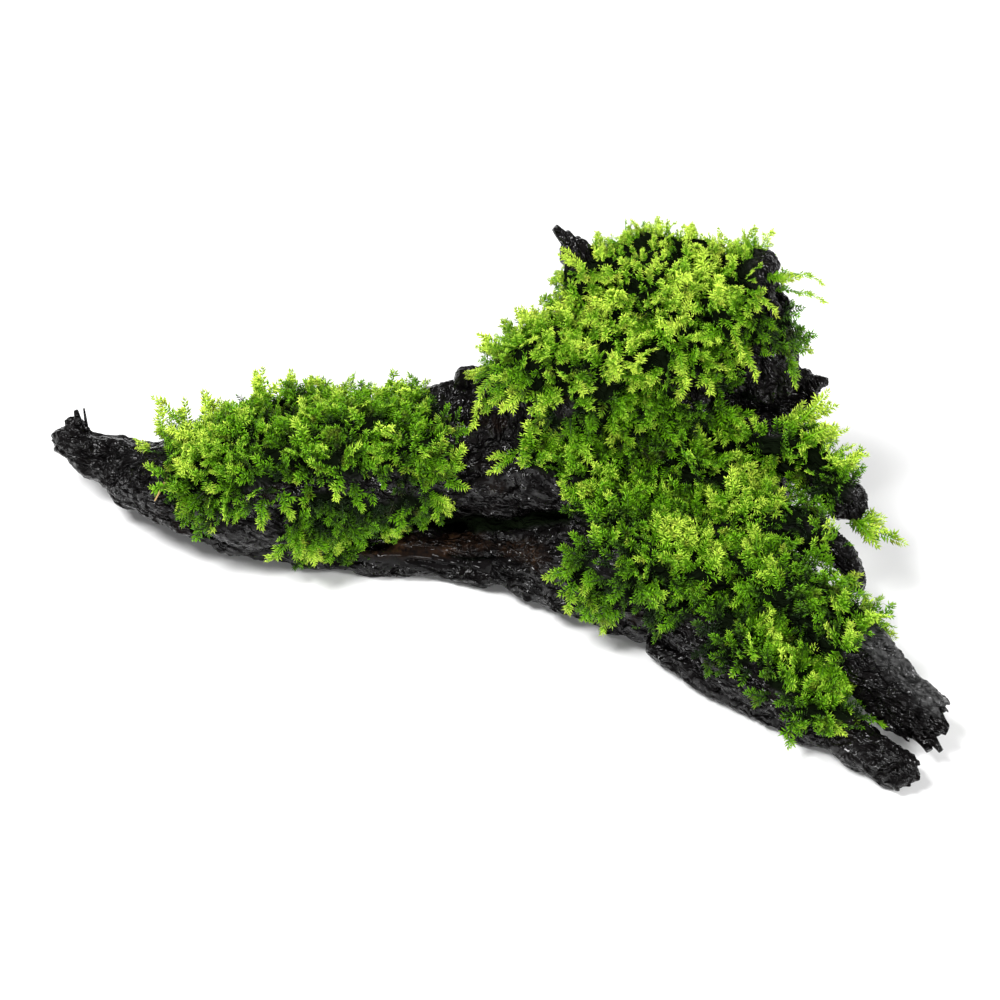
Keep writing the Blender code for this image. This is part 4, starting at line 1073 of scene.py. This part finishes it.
def frond_template(seed, length, shoot_step, longest, leaf_step):
    """One flat fir-like frond along +X, rooted at 0: points, triangles and how light each point is.

    The leaves are lightest at the frond's tip and at their own tips, as young growth with painted light, and
    darkest at its foot, as painted shade deep in the mat. The stem is a thin three-sided tube, and each side
    shoot's rod is a long thin leaf.
    """
    dice = np.random.default_rng(seed)
    place, shoot_turn, reach = side_shoots(length, shoot_step, longest, dice, 1 if seed % 2 else -1)
    columns = [shoot_leaves((0.0, 0.0, 0.0), 0.0, length, leaf_step, dice)]
    shoots = zip(place, shoot_turn, reach)
    columns += [shoot_leaves((x, 0.0, 0.0), turn, out, leaf_step, dice) for x, turn, out in shoots]
    base, turn, size, share = (np.concatenate(column) for column in zip(*columns))
    tilt = dice.normal(LEAF_LIFT, LIFT_SPREAD, len(turn))
    roll = dice.normal(0.0, ROLL_SPREAD, len(turn))
    leaves = leaf_points(base, turn, size, tilt, roll, LEAF_SLENDER * size)
    feet = np.stack([place, 0 * place, 0 * place], -1)
    rods = leaf_points(feet, shoot_turn, reach, 0 * place, 0 * place, 2 * ROD_RADIUS + 0 * place)
    tones = FOOT_TONE + FROND_GRADIENT * base[:, 0] / length + SHOOT_GRADIENT * share
    tones = np.concatenate([tones, ROD_TONE + ROD_GRADIENT * place / length])
    tones = tones[:, None] + np.array(LEAF_TONES)
    leaves = np.concatenate([leaves, rods])
    faces = (LEAF_FACES[None] + 4 * np.arange(len(leaves))[:, None, None]).reshape(-1, 3)
    out = np.linspace(-0.08, 1.0, STEM_RINGS)
    radius = (STEM_RADIUS * (1.0 - STEM_THINNING * out))[:, None]
    angle = 2 * math.pi * np.arange(3) / 3
    rings = np.broadcast_arrays((out * length)[:, None], radius * np.cos(angle), radius * np.sin(angle))
    ends = np.array([(-0.09 * length, 0, 0), (1.01 * length, 0, 0)])
    stem = np.vstack([np.stack(rings, -1).reshape(-1, 3), ends]), tube_faces(STEM_RINGS, 3)
    ends_tones = [STEM_TONE, STEM_TONE + STEM_GRADIENT]
    stem_tones = np.concatenate([np.repeat(STEM_TONE + STEM_GRADIENT * out, 3), ends_tones])
    points, triangles = stacked([(leaves.reshape(-1, 3), faces), stem])
    return points, triangles, np.concatenate([tones.ravel(), stem_tones])


def deep_in(spots, regions):
    """How deep each spot lies in the rounded regions: the largest 1 - ((p - centre) / half)^2."""
    return np.max([1.0 - (((spots - centre) / half) ** 2).sum(axis=1) for centre, half in regions], axis=0)


def in_cover(spots, cover, seed):
    """Which spots lie inside the cover and outside the bare spots, with an edge that wanders by noise."""
    edge = sum(share * value_noise(spots / width, seed + n) for n, (share, width) in enumerate(COVER_EDGE))
    return (deep_in(spots, cover) > edge) & (deep_in(spots, BARE_SPOTS) < 0.5 * edge)


def spread_out(spots, spacing):
    """The numbers of spots kept in turn, each at least a spacing from those kept before."""
    kept = np.empty((len(spots), 3))
    numbers = []
    for number, spot in enumerate(spots):
        if not numbers or ((kept[: len(numbers)] - spot) ** 2).sum(axis=1).min() > spacing**2:
            kept[len(numbers)] = spot
            numbers.append(number)
    return np.array(numbers)


def scattered(form, cover, spacing, limit, seed, dice):
    """Seeded places on the form inside the cover, a spacing apart, with normals that rise past the limit."""
    points, normals = skin_arrays(form)
    form.calc_loop_triangles()
    corners = np.empty(len(form.loop_triangles) * 3, np.int32)
    form.loop_triangles.foreach_get("vertices", corners)
    corners = corners.reshape(-1, 3)
    sides = points[corners[:, 1]] - points[corners[:, 0]], points[corners[:, 2]] - points[corners[:, 0]]
    areas = np.linalg.norm(np.cross(*sides), axis=1)
    centres = points[corners].mean(axis=1)
    facing = unit(normals[corners].sum(axis=1))
    areas *= in_cover(centres, cover, seed) & (facing[:, 2] > limit)
    chosen = dice.choice(len(areas), PLACE_TRIES, p=areas / areas.sum())
    mix = dice.dirichlet((1, 1, 1), PLACE_TRIES)
    spots = np.einsum("ij,ijk->ik", mix, points[corners[chosen]])
    keep = spread_out(spots, spacing)
    return spots[keep], facing[chosen][keep]


def headings(spots, normals, spread, dice):
    """Each frond's heading: out, down where steep, off its clump's middle, up on the crest, and by chance."""
    chance = dice.normal(size=(len(spots), 3))
    steep = smooth_step(1.0 - normals[:, 2:], *STEEP)
    inside = smooth_step(CREST_REACH - abs(spots[:, 0] - CREST_X), 0.0, CREST_END)
    crest = smooth_step(spots[:, 2], *CREST) * inside
    downhill = (normals * normals[:, 2:] - np.array((0.0, 0.0, 1.0))) * steep * (1.0 - crest[:, None])
    pulls = OUT_PULL * normals + DOWN_PULL * downhill + SPREAD_PULL * spread + CHANCE_PULL * chance
    pulls[:, 2] += UP_PULL + CREST_PULL * crest
    below = np.minimum((pulls * normals).sum(axis=1) - LEAST_RISE, 0.0)
    return unit(pulls - below[:, None] * normals)


def planted(template, feet, ways, ups, scale, droop, sweep, tone):
    """Copies of one template: swept sideways on one circle, drooped on another, then set on their feet.

    A template point (x, y, z) is swept to X = sin(kx)/k - y sin(kx), Y = (1 - cos(kx))/k + y cos(kx), then
    drooped to U = sin(hX)/h + z sin(hX), W = -(1 - cos(hX))/h + z cos(hX), and lies at foot + U T + Y S + W
    N.
    """
    points, triangles, tones = template
    x, y, z = (points[None, :, axis] * scale[:, None] for axis in range(3))
    k, h = sweep[:, None], droop[:, None]
    swept_x = np.sin(k * x) / k - y * np.sin(k * x)
    swept_y = (1 - np.cos(k * x)) / k + y * np.cos(k * x)
    z = z - SHOOT_DROOP * y * y
    out = np.sin(h * swept_x) / h + z * np.sin(h * swept_x)
    rise = -(1 - np.cos(h * swept_x)) / h + z * np.cos(h * swept_x)
    over = unit(ups - (ups * ways).sum(axis=1)[:, None] * ways)
    side = np.cross(over, ways)
    made = (
        feet[:, None]
        + out[..., None] * ways[:, None]
        + swept_y[..., None] * side[:, None]
        + rise[..., None] * over[:, None]
    )
    faces = triangles[None] + (len(points) * np.arange(len(feet)))[:, None, None]
    return made.reshape(-1, 3), faces.reshape(-1, 3), (tone[:, None] + tones[None]).ravel()


def part_of(stand, pick):
    return {key: values[pick] for key, values in stand.items()}


def grown(kinds, stand, dice, budget):
    """Fronds of these kinds on a stand, within the budget of triangles: points, triangles and tones."""
    kind = dice.integers(0, len(kinds), len(stand["feet"]))
    cost = np.cumsum([len(kinds[number][1]) for number in kind])
    kind = kind[: int((cost <= budget).sum())]
    parts = []
    for number, template in enumerate(kinds):
        pick = np.flatnonzero(kind == number)
        parts.append(planted(template, **part_of(stand, pick)))
    return parts


def tone_of(spots, normals, dice):
    """How light each frond is, before its own gradient: painted light on top and high up, painted shade low
    and on the column, painted light and shade in the spots, and lighter and darker in random patches.
    """
    patch = sum(share * value_noise(spots / width, seed) for share, width, seed in TONE_PATCHES)
    height = spots[:, 2]
    # Painted light on fronds that face up and stand high, painted shade on low ones and on the column, and
    # painted light and shade in the spots.
    top = PAINTED_LIGHT_UPWARD * smooth_step(normals[:, 2], 0.2, 0.9) + PAINTED_LIGHT_HIGH * smooth_step(height, *HIGH)
    low = PAINTED_SHADE_LOW * (1.0 - smooth_step(height, *LOW))
    column = PAINTED_SHADE_COLUMN * smooth_step(spots[:, 0], *COLUMN_X) * smooth_step(height, *COLUMN_Z)
    spot = sum(amount * smooth_step(deep_in(spots, [region]), 0.0, 0.7) for *region, amount in PAINTED_LIGHT_AND_SHADE_SPOTS)
    return BASE_TONE + patch + top + low + column + spot + dice.normal(0, TONE_CHANCE, len(spots))


def plugged(tree, socket, value):
    """Links the socket to another one, or gives it a plain value."""
    if isinstance(value, bpy.types.NodeSocket):
        tree.links.new(value, socket)
    else:
        socket.default_value = value


def new_node(tree, kind, inputs, **values):
    """A node of this kind with these values, and with its inputs linked or set."""
    node = tree.nodes.new("ShaderNode" + kind)
    for key, value in values.items():
        setattr(node, key, value)
    for key, value in inputs.items():
        plugged(tree, node.inputs[key], value)
    return node


def noise_node(tree, place, scale, detail, roughness=0.55, output="Fac"):
    inputs = {"Vector": place, "Scale": scale, "Detail": detail, "Roughness": roughness}
    return new_node(tree, "TexNoise", inputs).outputs[output]


def ramp_node(tree, value, stops):
    node = new_node(tree, "ValToRGB", {"Fac": value})
    ramp = node.color_ramp
    while len(ramp.elements) < len(stops):
        ramp.elements.new(0.5)
    for element, (place, colour) in zip(ramp.elements, stops):
        element.position = place
        element.color = (*colour, 1.0)
    return node.outputs["Color"]


def pattern_node(tree, place, name, first, second):
    """A named pattern of noise, from the first colour to the second."""
    scale, detail, roughness, low, high = PATTERNS[name]
    return ramp_node(tree, noise_node(tree, place, scale, detail, roughness), [(low, first), (high, second)])


def grey(value):
    return (value, value, value)


def mixed_node(tree, share, first, second):
    """The first colour where the share is 0 and the second where it is 1."""
    inputs = {"Factor": share, "A": first, "B": second}
    return new_node(tree, "Mix", inputs, data_type="RGBA").outputs["Result"]


def bump_node(tree, height, distance, strength, under=None, invert=False):
    """Normals tilted by a height, over those of the bump under it."""
    inputs = {"Height": height, "Distance": distance, "Strength": strength}
    if under:
        inputs["Normal"] = under
    return new_node(tree, "Bump", inputs, invert=invert).outputs["Normal"]


def attribute_node(tree, name):
    return new_node(tree, "Attribute", {}, attribute_name=name).outputs["Fac"]


def empty_material(name):
    """A new material, its node tree, its shader's inputs and the place on the object."""
    made = bpy.data.materials.new(name)
    made.use_nodes = True
    tree = made.node_tree
    place = new_node(tree, "TexCoord", {}).outputs["Object"]
    return made, tree, tree.nodes["Principled BSDF"].inputs, place


def along_the_limb(tree, place):
    """The place bent by noise, and squeezed along X on lying wood and along Z on standing wood."""
    wandering = noise_node(tree, place, BEND_SCALE, 2.0, 0.5, "Color")
    bent = new_node(tree, "VectorMath", {}, operation="MULTIPLY_ADD")
    for socket, value in zip(bent.inputs, (wandering, grey(BEND), place)):
        plugged(tree, socket, value)
    lying, standing = (SQUEEZE, 1.0, 1.0, 1.0), (1.0, 1.0, SQUEEZE, 1.0)
    squeezed = new_node(tree, "VectorMath", {}, operation="MULTIPLY")
    squeeze = mixed_node(tree, attribute_node(tree, "upright"), lying, standing)
    for socket, value in zip(squeezed.inputs, (bent.outputs["Vector"], squeeze)):
        plugged(tree, socket, value)
    return squeezed.outputs["Vector"]


def bark_colour(tree, place):
    """Near black, brown along the ledge, scratched grey on the worn face, which is partly painted light, and
    nearly nothing under moss, in the groove and in creases, where shade is painted.
    """
    bark = settings().wood.bark
    mottle = pattern_node(tree, place, "mottle", *([share * c for c in bark] for share in BARK_MOTTLE))
    brown = pattern_node(tree, place, "heartwood", bark, settings().wood.heartwood)
    scratches = pattern_node(tree, place, "scratches", *map(grey, SCRATCH_AND_PAINTED_LIGHT_GREYS))
    colour = mixed_node(tree, attribute_node(tree, "brown"), mottle, brown)
    # Grey on the worn face: partly wear, partly painted light.
    colour = mixed_node(tree, attribute_node(tree, "wear_and_painted_light"), colour, scratches)
    # Painted shade: near black under moss, in the groove and in the creases.
    return mixed_node(tree, attribute_node(tree, "painted_shade"), colour, PAINTED_SHADE_COLOUR)


def bark_normals(tree, place, flowing):
    """Fine pores, then folds that flow along the limb, then rounded wrinkles. The film of water has none."""
    patch = pattern_node(tree, place, "wrinkled", *map(grey, WRINKLED))
    strength = mixed_node(tree, attribute_node(tree, "film"), patch, (*grey(0.0), 1.0))
    pores = bump_node(tree, noise_node(tree, place, PORE_SCALE, 2.0, 0.6), PORE_DEPTH, strength)
    wave = {"Vector": flowing, "Scale": FOLD_SCALE, "Distortion": 12.0, "Detail": 1.0, "Detail Scale": 0.9}
    folds = new_node(tree, "TexWave", wave, bands_direction="DIAGONAL").outputs["Fac"]
    folded = bump_node(tree, folds, FOLD_DEPTH, strength, pores)
    cells = new_node(tree, "TexVoronoi", {"Vector": flowing, "Scale": WRINKLE_SCALE}, feature="F1")
    return bump_node(tree, cells.outputs["Distance"], WRINKLE_DEPTH, strength, folded, invert=True)


def bark_material():
    """Near-black wet bark: brown or grey where worn, glossy in specks, dull and near black with painted shade
    under moss and in the groove and creases, finely wrinkled.
    """
    made, tree, inputs, place = empty_material("wet_driftwood_bark")
    flowing = along_the_limb(tree, place)
    painted_shade, film = attribute_node(tree, "painted_shade"), attribute_node(tree, "film")
    wet = pattern_node(tree, place, "wet", *map(grey, WET_ROUGHNESS))
    # Painted shade: dull and with almost no sheen under moss, in the groove and in the creases.
    rough = mixed_node(tree, painted_shade, wet, (*grey(DULL_ROUGHNESS), 1.0))
    sheen = pattern_node(tree, flowing, "specks", *map(grey, SPECK_SHEEN))
    shine = mixed_node(tree, painted_shade, sheen, (*grey(PAINTED_SHADE_SHEEN), 1.0))
    plugged(tree, inputs["Base Color"], bark_colour(tree, place))
    plugged(tree, inputs["Roughness"], mixed_node(tree, film, rough, (*grey(FILM_ROUGHNESS), 1.0)))
    plugged(tree, inputs["Specular IOR Level"], mixed_node(tree, film, shine, (*grey(FILM_SHEEN), 1.0)))
    plugged(tree, inputs["Normal"], bark_normals(tree, place, flowing))
    return made


def moss_material():
    """Moss leaves: dark deep inside, where shade is painted, green above, lime at young tips that also carry
    painted light, olive in patches, with a wet sheen.
    """
    moss = settings().moss
    made, tree, inputs, place = empty_material("moss_leaves")
    tone = attribute_node(tree, "tone")
    dark, green, lime = (list(c) for c in (moss.dark, moss.green, moss.lime))
    middle = [0.45 * g + 0.55 * d for g, d in zip(green, dark)]
    bright = [0.55 * g + 0.45 * y for g, y in zip(green, lime)]
    fresh = ramp_node(tree, tone, list(zip(TONE_STOPS, (dark, middle, green, bright, lime))))
    patches = pattern_node(tree, place, "olive", *map(grey, OLIVE_SHARES))
    plugged(tree, inputs["Base Color"], mixed_node(tree, patches, fresh, ramp_node(tree, tone, OLIVE)))
    inputs["Roughness"].default_value = LEAF_ROUGHNESS
    inputs["Specular IOR Level"].default_value = LEAF_SHEEN
    return made


def plain_material(name, colour, roughness):
    made, _, inputs, _ = empty_material(name)
    inputs["Base Color"].default_value = (*colour, 1.0)
    inputs["Roughness"].default_value = roughness
    return made


def body_pieces():
    """The left branch, trunk and crown, finished in one skin and then parted at the forks."""
    skin = carved(fused(body_form(DRAFT_VOXEL), SKIN_VOXEL, 1), CREASES)
    skin = barked(skin, body_headings, BODY_ENDS)
    skin = cut(skin, (0, 0, 0), (0, 0, -1))
    left = cut(skin, (LEFT_FORK_X, 0, 0), (1, 0, 0))
    rest = cut(skin, (LEFT_FORK_X, 0, 0), (-1, 0, 0))
    trunk = cut(rest, (0, 0, CROWN_FORK_Z), (0, 0, 1))
    crown = cut(rest, (0, 0, CROWN_FORK_Z), (0, 0, -1))
    return {"left_branch": left, "trunk": trunk, "crown_stump": crown}


class MOSS_OT_body(bpy.types.Operator):
    """Builds the left branch, the trunk and the crown of the driftwood."""

    bl_idname = "moss.body"
    bl_label = "Trunk, Branch and Crown"

    def execute(self, context):
        bark = bark_material()
        for name, mesh in body_pieces().items():
            if name == "left_branch":
                mesh = with_fibres(mesh, TIP_FIBRES)
            if name == "crown_stump":
                mesh = with_fibres(mesh, SPUR_FIBRES)
            show(smooth_shaded(placed(mesh)), name + "_bark", bark, [name])
        return {"FINISHED"}


class MOSS_OT_roots(bpy.types.Operator):
    """Builds the splayed roots and the sliver split off along the front."""

    bl_idname = "moss.roots"
    bl_label = "Roots and Splinter"

    def execute(self, context):
        bark = bpy.data.materials["wet_driftwood_bark"]
        for name, stations in ROOTS.items():
            way = np.array(stations[-2][:3]) - np.array(stations[1][:3])
            skin = fused(root_form(name, 2 * ROOT_VOXEL), ROOT_VOXEL, 1)
            if name == "upper_prong":
                skin = carved(skin, PRONG_CREASES)
            skin = barked(skin, lambda points: [(way, 1.0)], ROOT_ENDS.get(name, ()))
            skin = cut(skin, (0, 0, 0), (0, 0, -1))
            if name == "upper_prong":
                skin = with_fibres(skin, PRONG_FIBRES)
            show(smooth_shaded(placed(skin)), name + "_bark", bark, [name])
        return {"FINISHED"}


def footing():
    """The whole driftwood's form, that the moss is rooted on."""
    forms = [body_form(FOOTING_VOXEL)] + [root_form(name, 2 * ROOT_VOXEL) for name in ROOTS]
    return fused(joined(forms), FOOTING_VOXEL, 2)


def even_stand(form, cover, spacing, limit, seed, dice):
    """A stand of fronds over the form inside the cover, in clumps, with painted shade on the thinner gaps
    between.
    """
    spots, normals = scattered(form, cover, spacing, limit, seed, dice)
    clumps = spots[spread_out(spots, CLUMP_SPACING)]
    away = spots[:, None] - clumps[None]
    nearest = (away**2).sum(axis=2).argmin(axis=1)
    spread = away[np.arange(len(spots)), nearest] / (0.5 * CLUMP_SPACING)
    far = np.linalg.norm(spread, axis=1)
    gap = value_noise(spots / GAP_WIDTH, seed + SEEDS["gaps"]) - GAP_AT_EDGE * (far - 1.0)
    keep = np.arange(len(gap))
    if spacing == OUTER_SPACING:
        keep = np.argsort(-gap)[: int((1.0 - GAP_SHARE) * len(gap))]
    keep = dice.permutation(keep)
    spots, normals, spread, far = spots[keep], normals[keep], spread[keep], far[keep]
    count = len(spots)
    top = smooth_step(spots[:, 2], *CREST_TOP)
    return {
        "feet": spots - FOOT_DEPTH * normals,
        "ways": headings(spots, normals, spread, dice),
        "ups": unit(MAT_LIFT * normals + MAT_FACING + MAT_TURN * dice.normal(size=normals.shape)),
        "scale": dice.uniform(*MAT_SIZES, count) * (1.16 - 0.16 * far) * (1.0 - CREST_TRIM * top),
        "droop": dice.uniform(*MAT_DROOP, count),
        "sweep": dice.normal(0, MAT_SWEEP, count) + LEAST_SWEEP,
        # Painted shade at the edge of each clump.
        "tone": tone_of(spots, normals, dice) + CLUMP_SHADE * (0.8 - far),
    }


def spray_stand(form, sprays, dice):
    """A stand of fronds that fan a little round each spray's line, with its foot laid on the form first.

    On a line longer than one frond, every second frond starts late enough to end at the line's tip.
    """
    foot, tip, count = (np.array(column) for column in zip(*sprays))
    foot = laid_on(form, foot)
    number = np.repeat(np.arange(len(sprays)), count)
    line = (tip - foot)[number]
    reach = np.linalg.norm(line, axis=1)
    total = len(number)
    late = np.arange(total) % 2 * np.maximum(reach - SPRAY_LENGTH, 0.0) / reach
    rising = smooth_step(line[:, 2] / reach, -0.2, 0.4)
    return {
        "feet": foot[number] + late[:, None] * line + dice.normal(0, SPRAY_SCATTER, (total, 3)),
        "ways": unit(unit(line) + dice.normal(0, SPRAY_FAN, (total, 3))),
        "ups": SPRAY_FACING + dice.normal(0, SPRAY_TURN, (total, 3)),
        "scale": np.clip(reach / FROND_KINDS["fringe"][1], 0.8, 1.3) * dice.uniform(*SPRAY_SIZES, total),
        "droop": dice.uniform(*SPRAY_DROOP, total),
        "sweep": dice.normal(0, SPRAY_SWEEP, total) + LEAST_SWEEP,
        # Painted light: sprays that point up are lighter.
        "tone": TRAIL_TONE + SPRAY_PAINTED_LIGHT * rising + dice.normal(0, 0.05, total),
    }


def trailing_stand(form, trails, dice):
    """A stand of long drooping fronds rooted on the form: foot, first heading, droop per millimetre."""
    foot, way, droop = (np.array(column, float) for column in zip(*trails))
    foot = laid_on(form, foot)
    total = len(foot)
    return {
        "feet": foot,
        "ways": unit(way),
        "ups": np.tile((0.0, 0.0, 1.0), (total, 1)),
        "scale": np.full(total, 1.0),
        "droop": droop,
        "sweep": dice.normal(0, TRAIL_SWEEP, total) + LEAST_SWEEP,
        "tone": np.full(total, TRAIL_TONE),
    }


def mat_of(stretch, feet):
    """Which mat each frond of a stretch belongs to, by where its foot is."""
    if stretch == "left":
        return np.where(feet[:, 0] > MAT_LEFT_X, "moss_left_branch_right", "moss_left_branch_left")
    if stretch == "prong":
        return np.full(len(feet), "moss_lower_prong")
    low = np.where(feet[:, 0] > MAT_ROOTS_X, "moss_upper_roots", "moss_trunk")
    high = np.where(feet[:, 0] > CROWN_SPLIT_X, "moss_crown_right", "moss_crown_left")
    return np.where(feet[:, 2] > MAT_CROWN_Z, high, low)


class MOSS_OT_mats(bpy.types.Operator):
    """Grows the mats of moss fronds over the driftwood."""

    bl_idname = "moss.mats"
    bl_label = "Moss Mats"

    def execute(self, context):
        moss = moss_material()
        form = footing()
        kinds = {
            kind: [frond_template(100 * place + seed, *shape) for seed in range(count)]
            for place, (kind, (count, *shape)) in enumerate(FROND_KINDS.items())
        }
        budget = settings().moss.frond_budget
        for stretch, cover, sprays, trails, limit, seed in MATS:
            dice = np.random.default_rng(seed)
            stands = [("fringe", spray_stand(form, sprays, dice))]
            if trails:
                stands.append(("trailing", trailing_stand(form, trails, dice)))
            under = even_stand(form, cover, UNDER_SPACING, limit, seed, dice)
            # Painted shade: the under layer is darker.
            under["tone"] -= UNDER_SHADE
            stands.append(("under", under))
            stands.append(("outer", even_stand(form, cover, OUTER_SPACING, limit, seed, dice)))
            owners = [mat_of(stretch, stand["feet"]) for _, stand in stands]
            for name in sorted(set(owners[-1])):
                parts = []
                left = budget
                for (kind, stand), owner in zip(stands, owners):
                    made = grown(kinds[kind], part_of(stand, owner == name), dice, left)
                    left -= sum(len(faces) for _, faces, _ in made)
                    parts += made
                points, faces = stacked([(points, faces) for points, faces, _ in parts])
                tones = np.concatenate([tint for _, _, tint in parts])
                node = name.removesuffix("_left").removesuffix("_right")
                show(mat_mesh(name, points, faces, tones), name + "_fronds", moss, [node])
        ends = laid_on(form, DRIED_STEM) + DRIED_STEM_LIFT
        scrap = placed(new_mesh("dried_stem", *peg_surface(*ends, DRIED_STEM_RADIUS)))
        show(scrap, "dried_stem", plain_material("dried_stem", DRIED_COLOUR, DRIED_ROUGHNESS), [])
        return {"FINISHED"}


def mat_mesh(name, points, faces, tones):
    mesh = placed(new_mesh(name, points, faces))
    mesh.attributes.new("tone", "FLOAT", "POINT").data.foreach_set("value", tones.astype(np.float32))
    return mesh


def turned_from(name, data, place, aim):
    """A light or camera at a place, looking at its aim."""
    holder = bpy.data.objects.new(name, data)
    holder.location = place
    holder.rotation_mode = "QUATERNION"
    holder.rotation_quaternion = (Vector(place) - Vector(aim)).to_track_quat("Z", "Y")
    bpy.context.scene.collection.objects.link(holder)
    return holder


def studio_floor():
    """A wide pale disc just under the piece."""
    drop = (0, 0, -FLOOR_DROP)
    bpy.ops.mesh.primitive_circle_add(vertices=96, radius=FLOOR_RADIUS, fill_type="NGON", location=drop)
    floor = bpy.context.object
    floor.name = "studio_floor"
    floor.data.materials.append(plain_material("floor_paint", settings().stage.floor, FLOOR_ROUGHNESS))


def studio_world():
    """Even grey light from all round, a little brighter from below."""
    world = bpy.data.worlds.new("studio")
    world.use_nodes = True
    tree = world.node_tree
    split = new_node(tree, "SeparateXYZ", {"Vector": new_node(tree, "TexCoord", {}).outputs["Generated"]})
    sky = ramp_node(tree, split.outputs["Z"], [(height, grey(light)) for height, light in WORLD])
    plugged(tree, tree.nodes["Background"].inputs["Color"], sky)
    bpy.context.scene.world = world


def softbox(name, place, width, height, share):
    light = bpy.data.lights.new(name, "AREA")
    light.shape = "RECTANGLE"
    light.size = width
    light.size_y = height
    light.energy = share * settings().stage.key_power
    turned_from(name, light, place, SOFTBOX_AIM)


def studio_camera():
    """The camera that sees the piece as the photograph does."""
    camera = bpy.data.cameras.new("camera")
    camera.sensor_width = SENSOR
    camera.lens = SENSOR * CAMERA_DISTANCE / (PIXEL * PICTURE)
    camera.clip_start = 0.01
    camera.clip_end = 20.0
    target = Vector((np.array(CAMERA_AIM) - MIDDLE) * MM)
    back = Vector((0.0, -math.cos(CAMERA_ELEVATION), math.sin(CAMERA_ELEVATION)))
    bpy.context.scene.camera = turned_from("camera", camera, target + back * CAMERA_DISTANCE * MM, target)


class MOSS_OT_stage(bpy.types.Operator):
    """Builds the pale floor, the soft studio light and the camera at the photograph's angle."""

    bl_idname = "moss.stage"
    bl_label = "Stage"

    def execute(self, context):
        studio_floor()
        studio_world()
        for name, setting in SOFTBOXES.items():
            softbox(name, *setting)
        studio_camera()
        context.scene.view_settings.view_transform = "Standard"
        return {"FINISHED"}


class MossDriftwoodSettings(bpy.types.PropertyGroup):
    wood: PointerProperty(type=WoodSettings, name="Wood", description="Sizes and colours of the driftwood")
    moss: PointerProperty(type=MossSettings, name="Moss", description="Size and colours of the moss")
    stage: PointerProperty(type=StageSettings, name="Stage", description="Floor and light")


class MOSS_PT_panel(bpy.types.Panel):
    bl_label = "Moss on Driftwood"
    bl_idname = "MOSS_PT_panel"
    bl_space_type = "VIEW_3D"
    bl_region_type = "UI"
    bl_category = "Moss"

    def draw(self, context):
        for group in (settings().wood, settings().moss, settings().stage):
            box = self.layout.box()
            for key in group.bl_rna.properties.keys():
                if key not in {"rna_type", "name"}:
                    box.prop(group, key)
        for step in STEPS:
            self.layout.operator(step.bl_idname)


STEPS = (MOSS_OT_stage, MOSS_OT_body, MOSS_OT_roots, MOSS_OT_mats)
CLASSES = (WoodSettings, MossSettings, StageSettings, MossDriftwoodSettings, *STEPS, MOSS_PT_panel)


def register():
    for kind in CLASSES:
        bpy.utils.register_class(kind)
    bpy.types.Scene.moss_driftwood = PointerProperty(type=MossDriftwoodSettings)


def unregister():
    del bpy.types.Scene.moss_driftwood
    for kind in reversed(CLASSES):
        bpy.utils.unregister_class(kind)


def main():
    register()
    bpy.ops.moss.stage()
    bpy.ops.moss.body()
    bpy.ops.moss.roots()
    bpy.ops.moss.mats()
    bpy.context.view_layer.update()


if __name__ == "__main__":
    main()
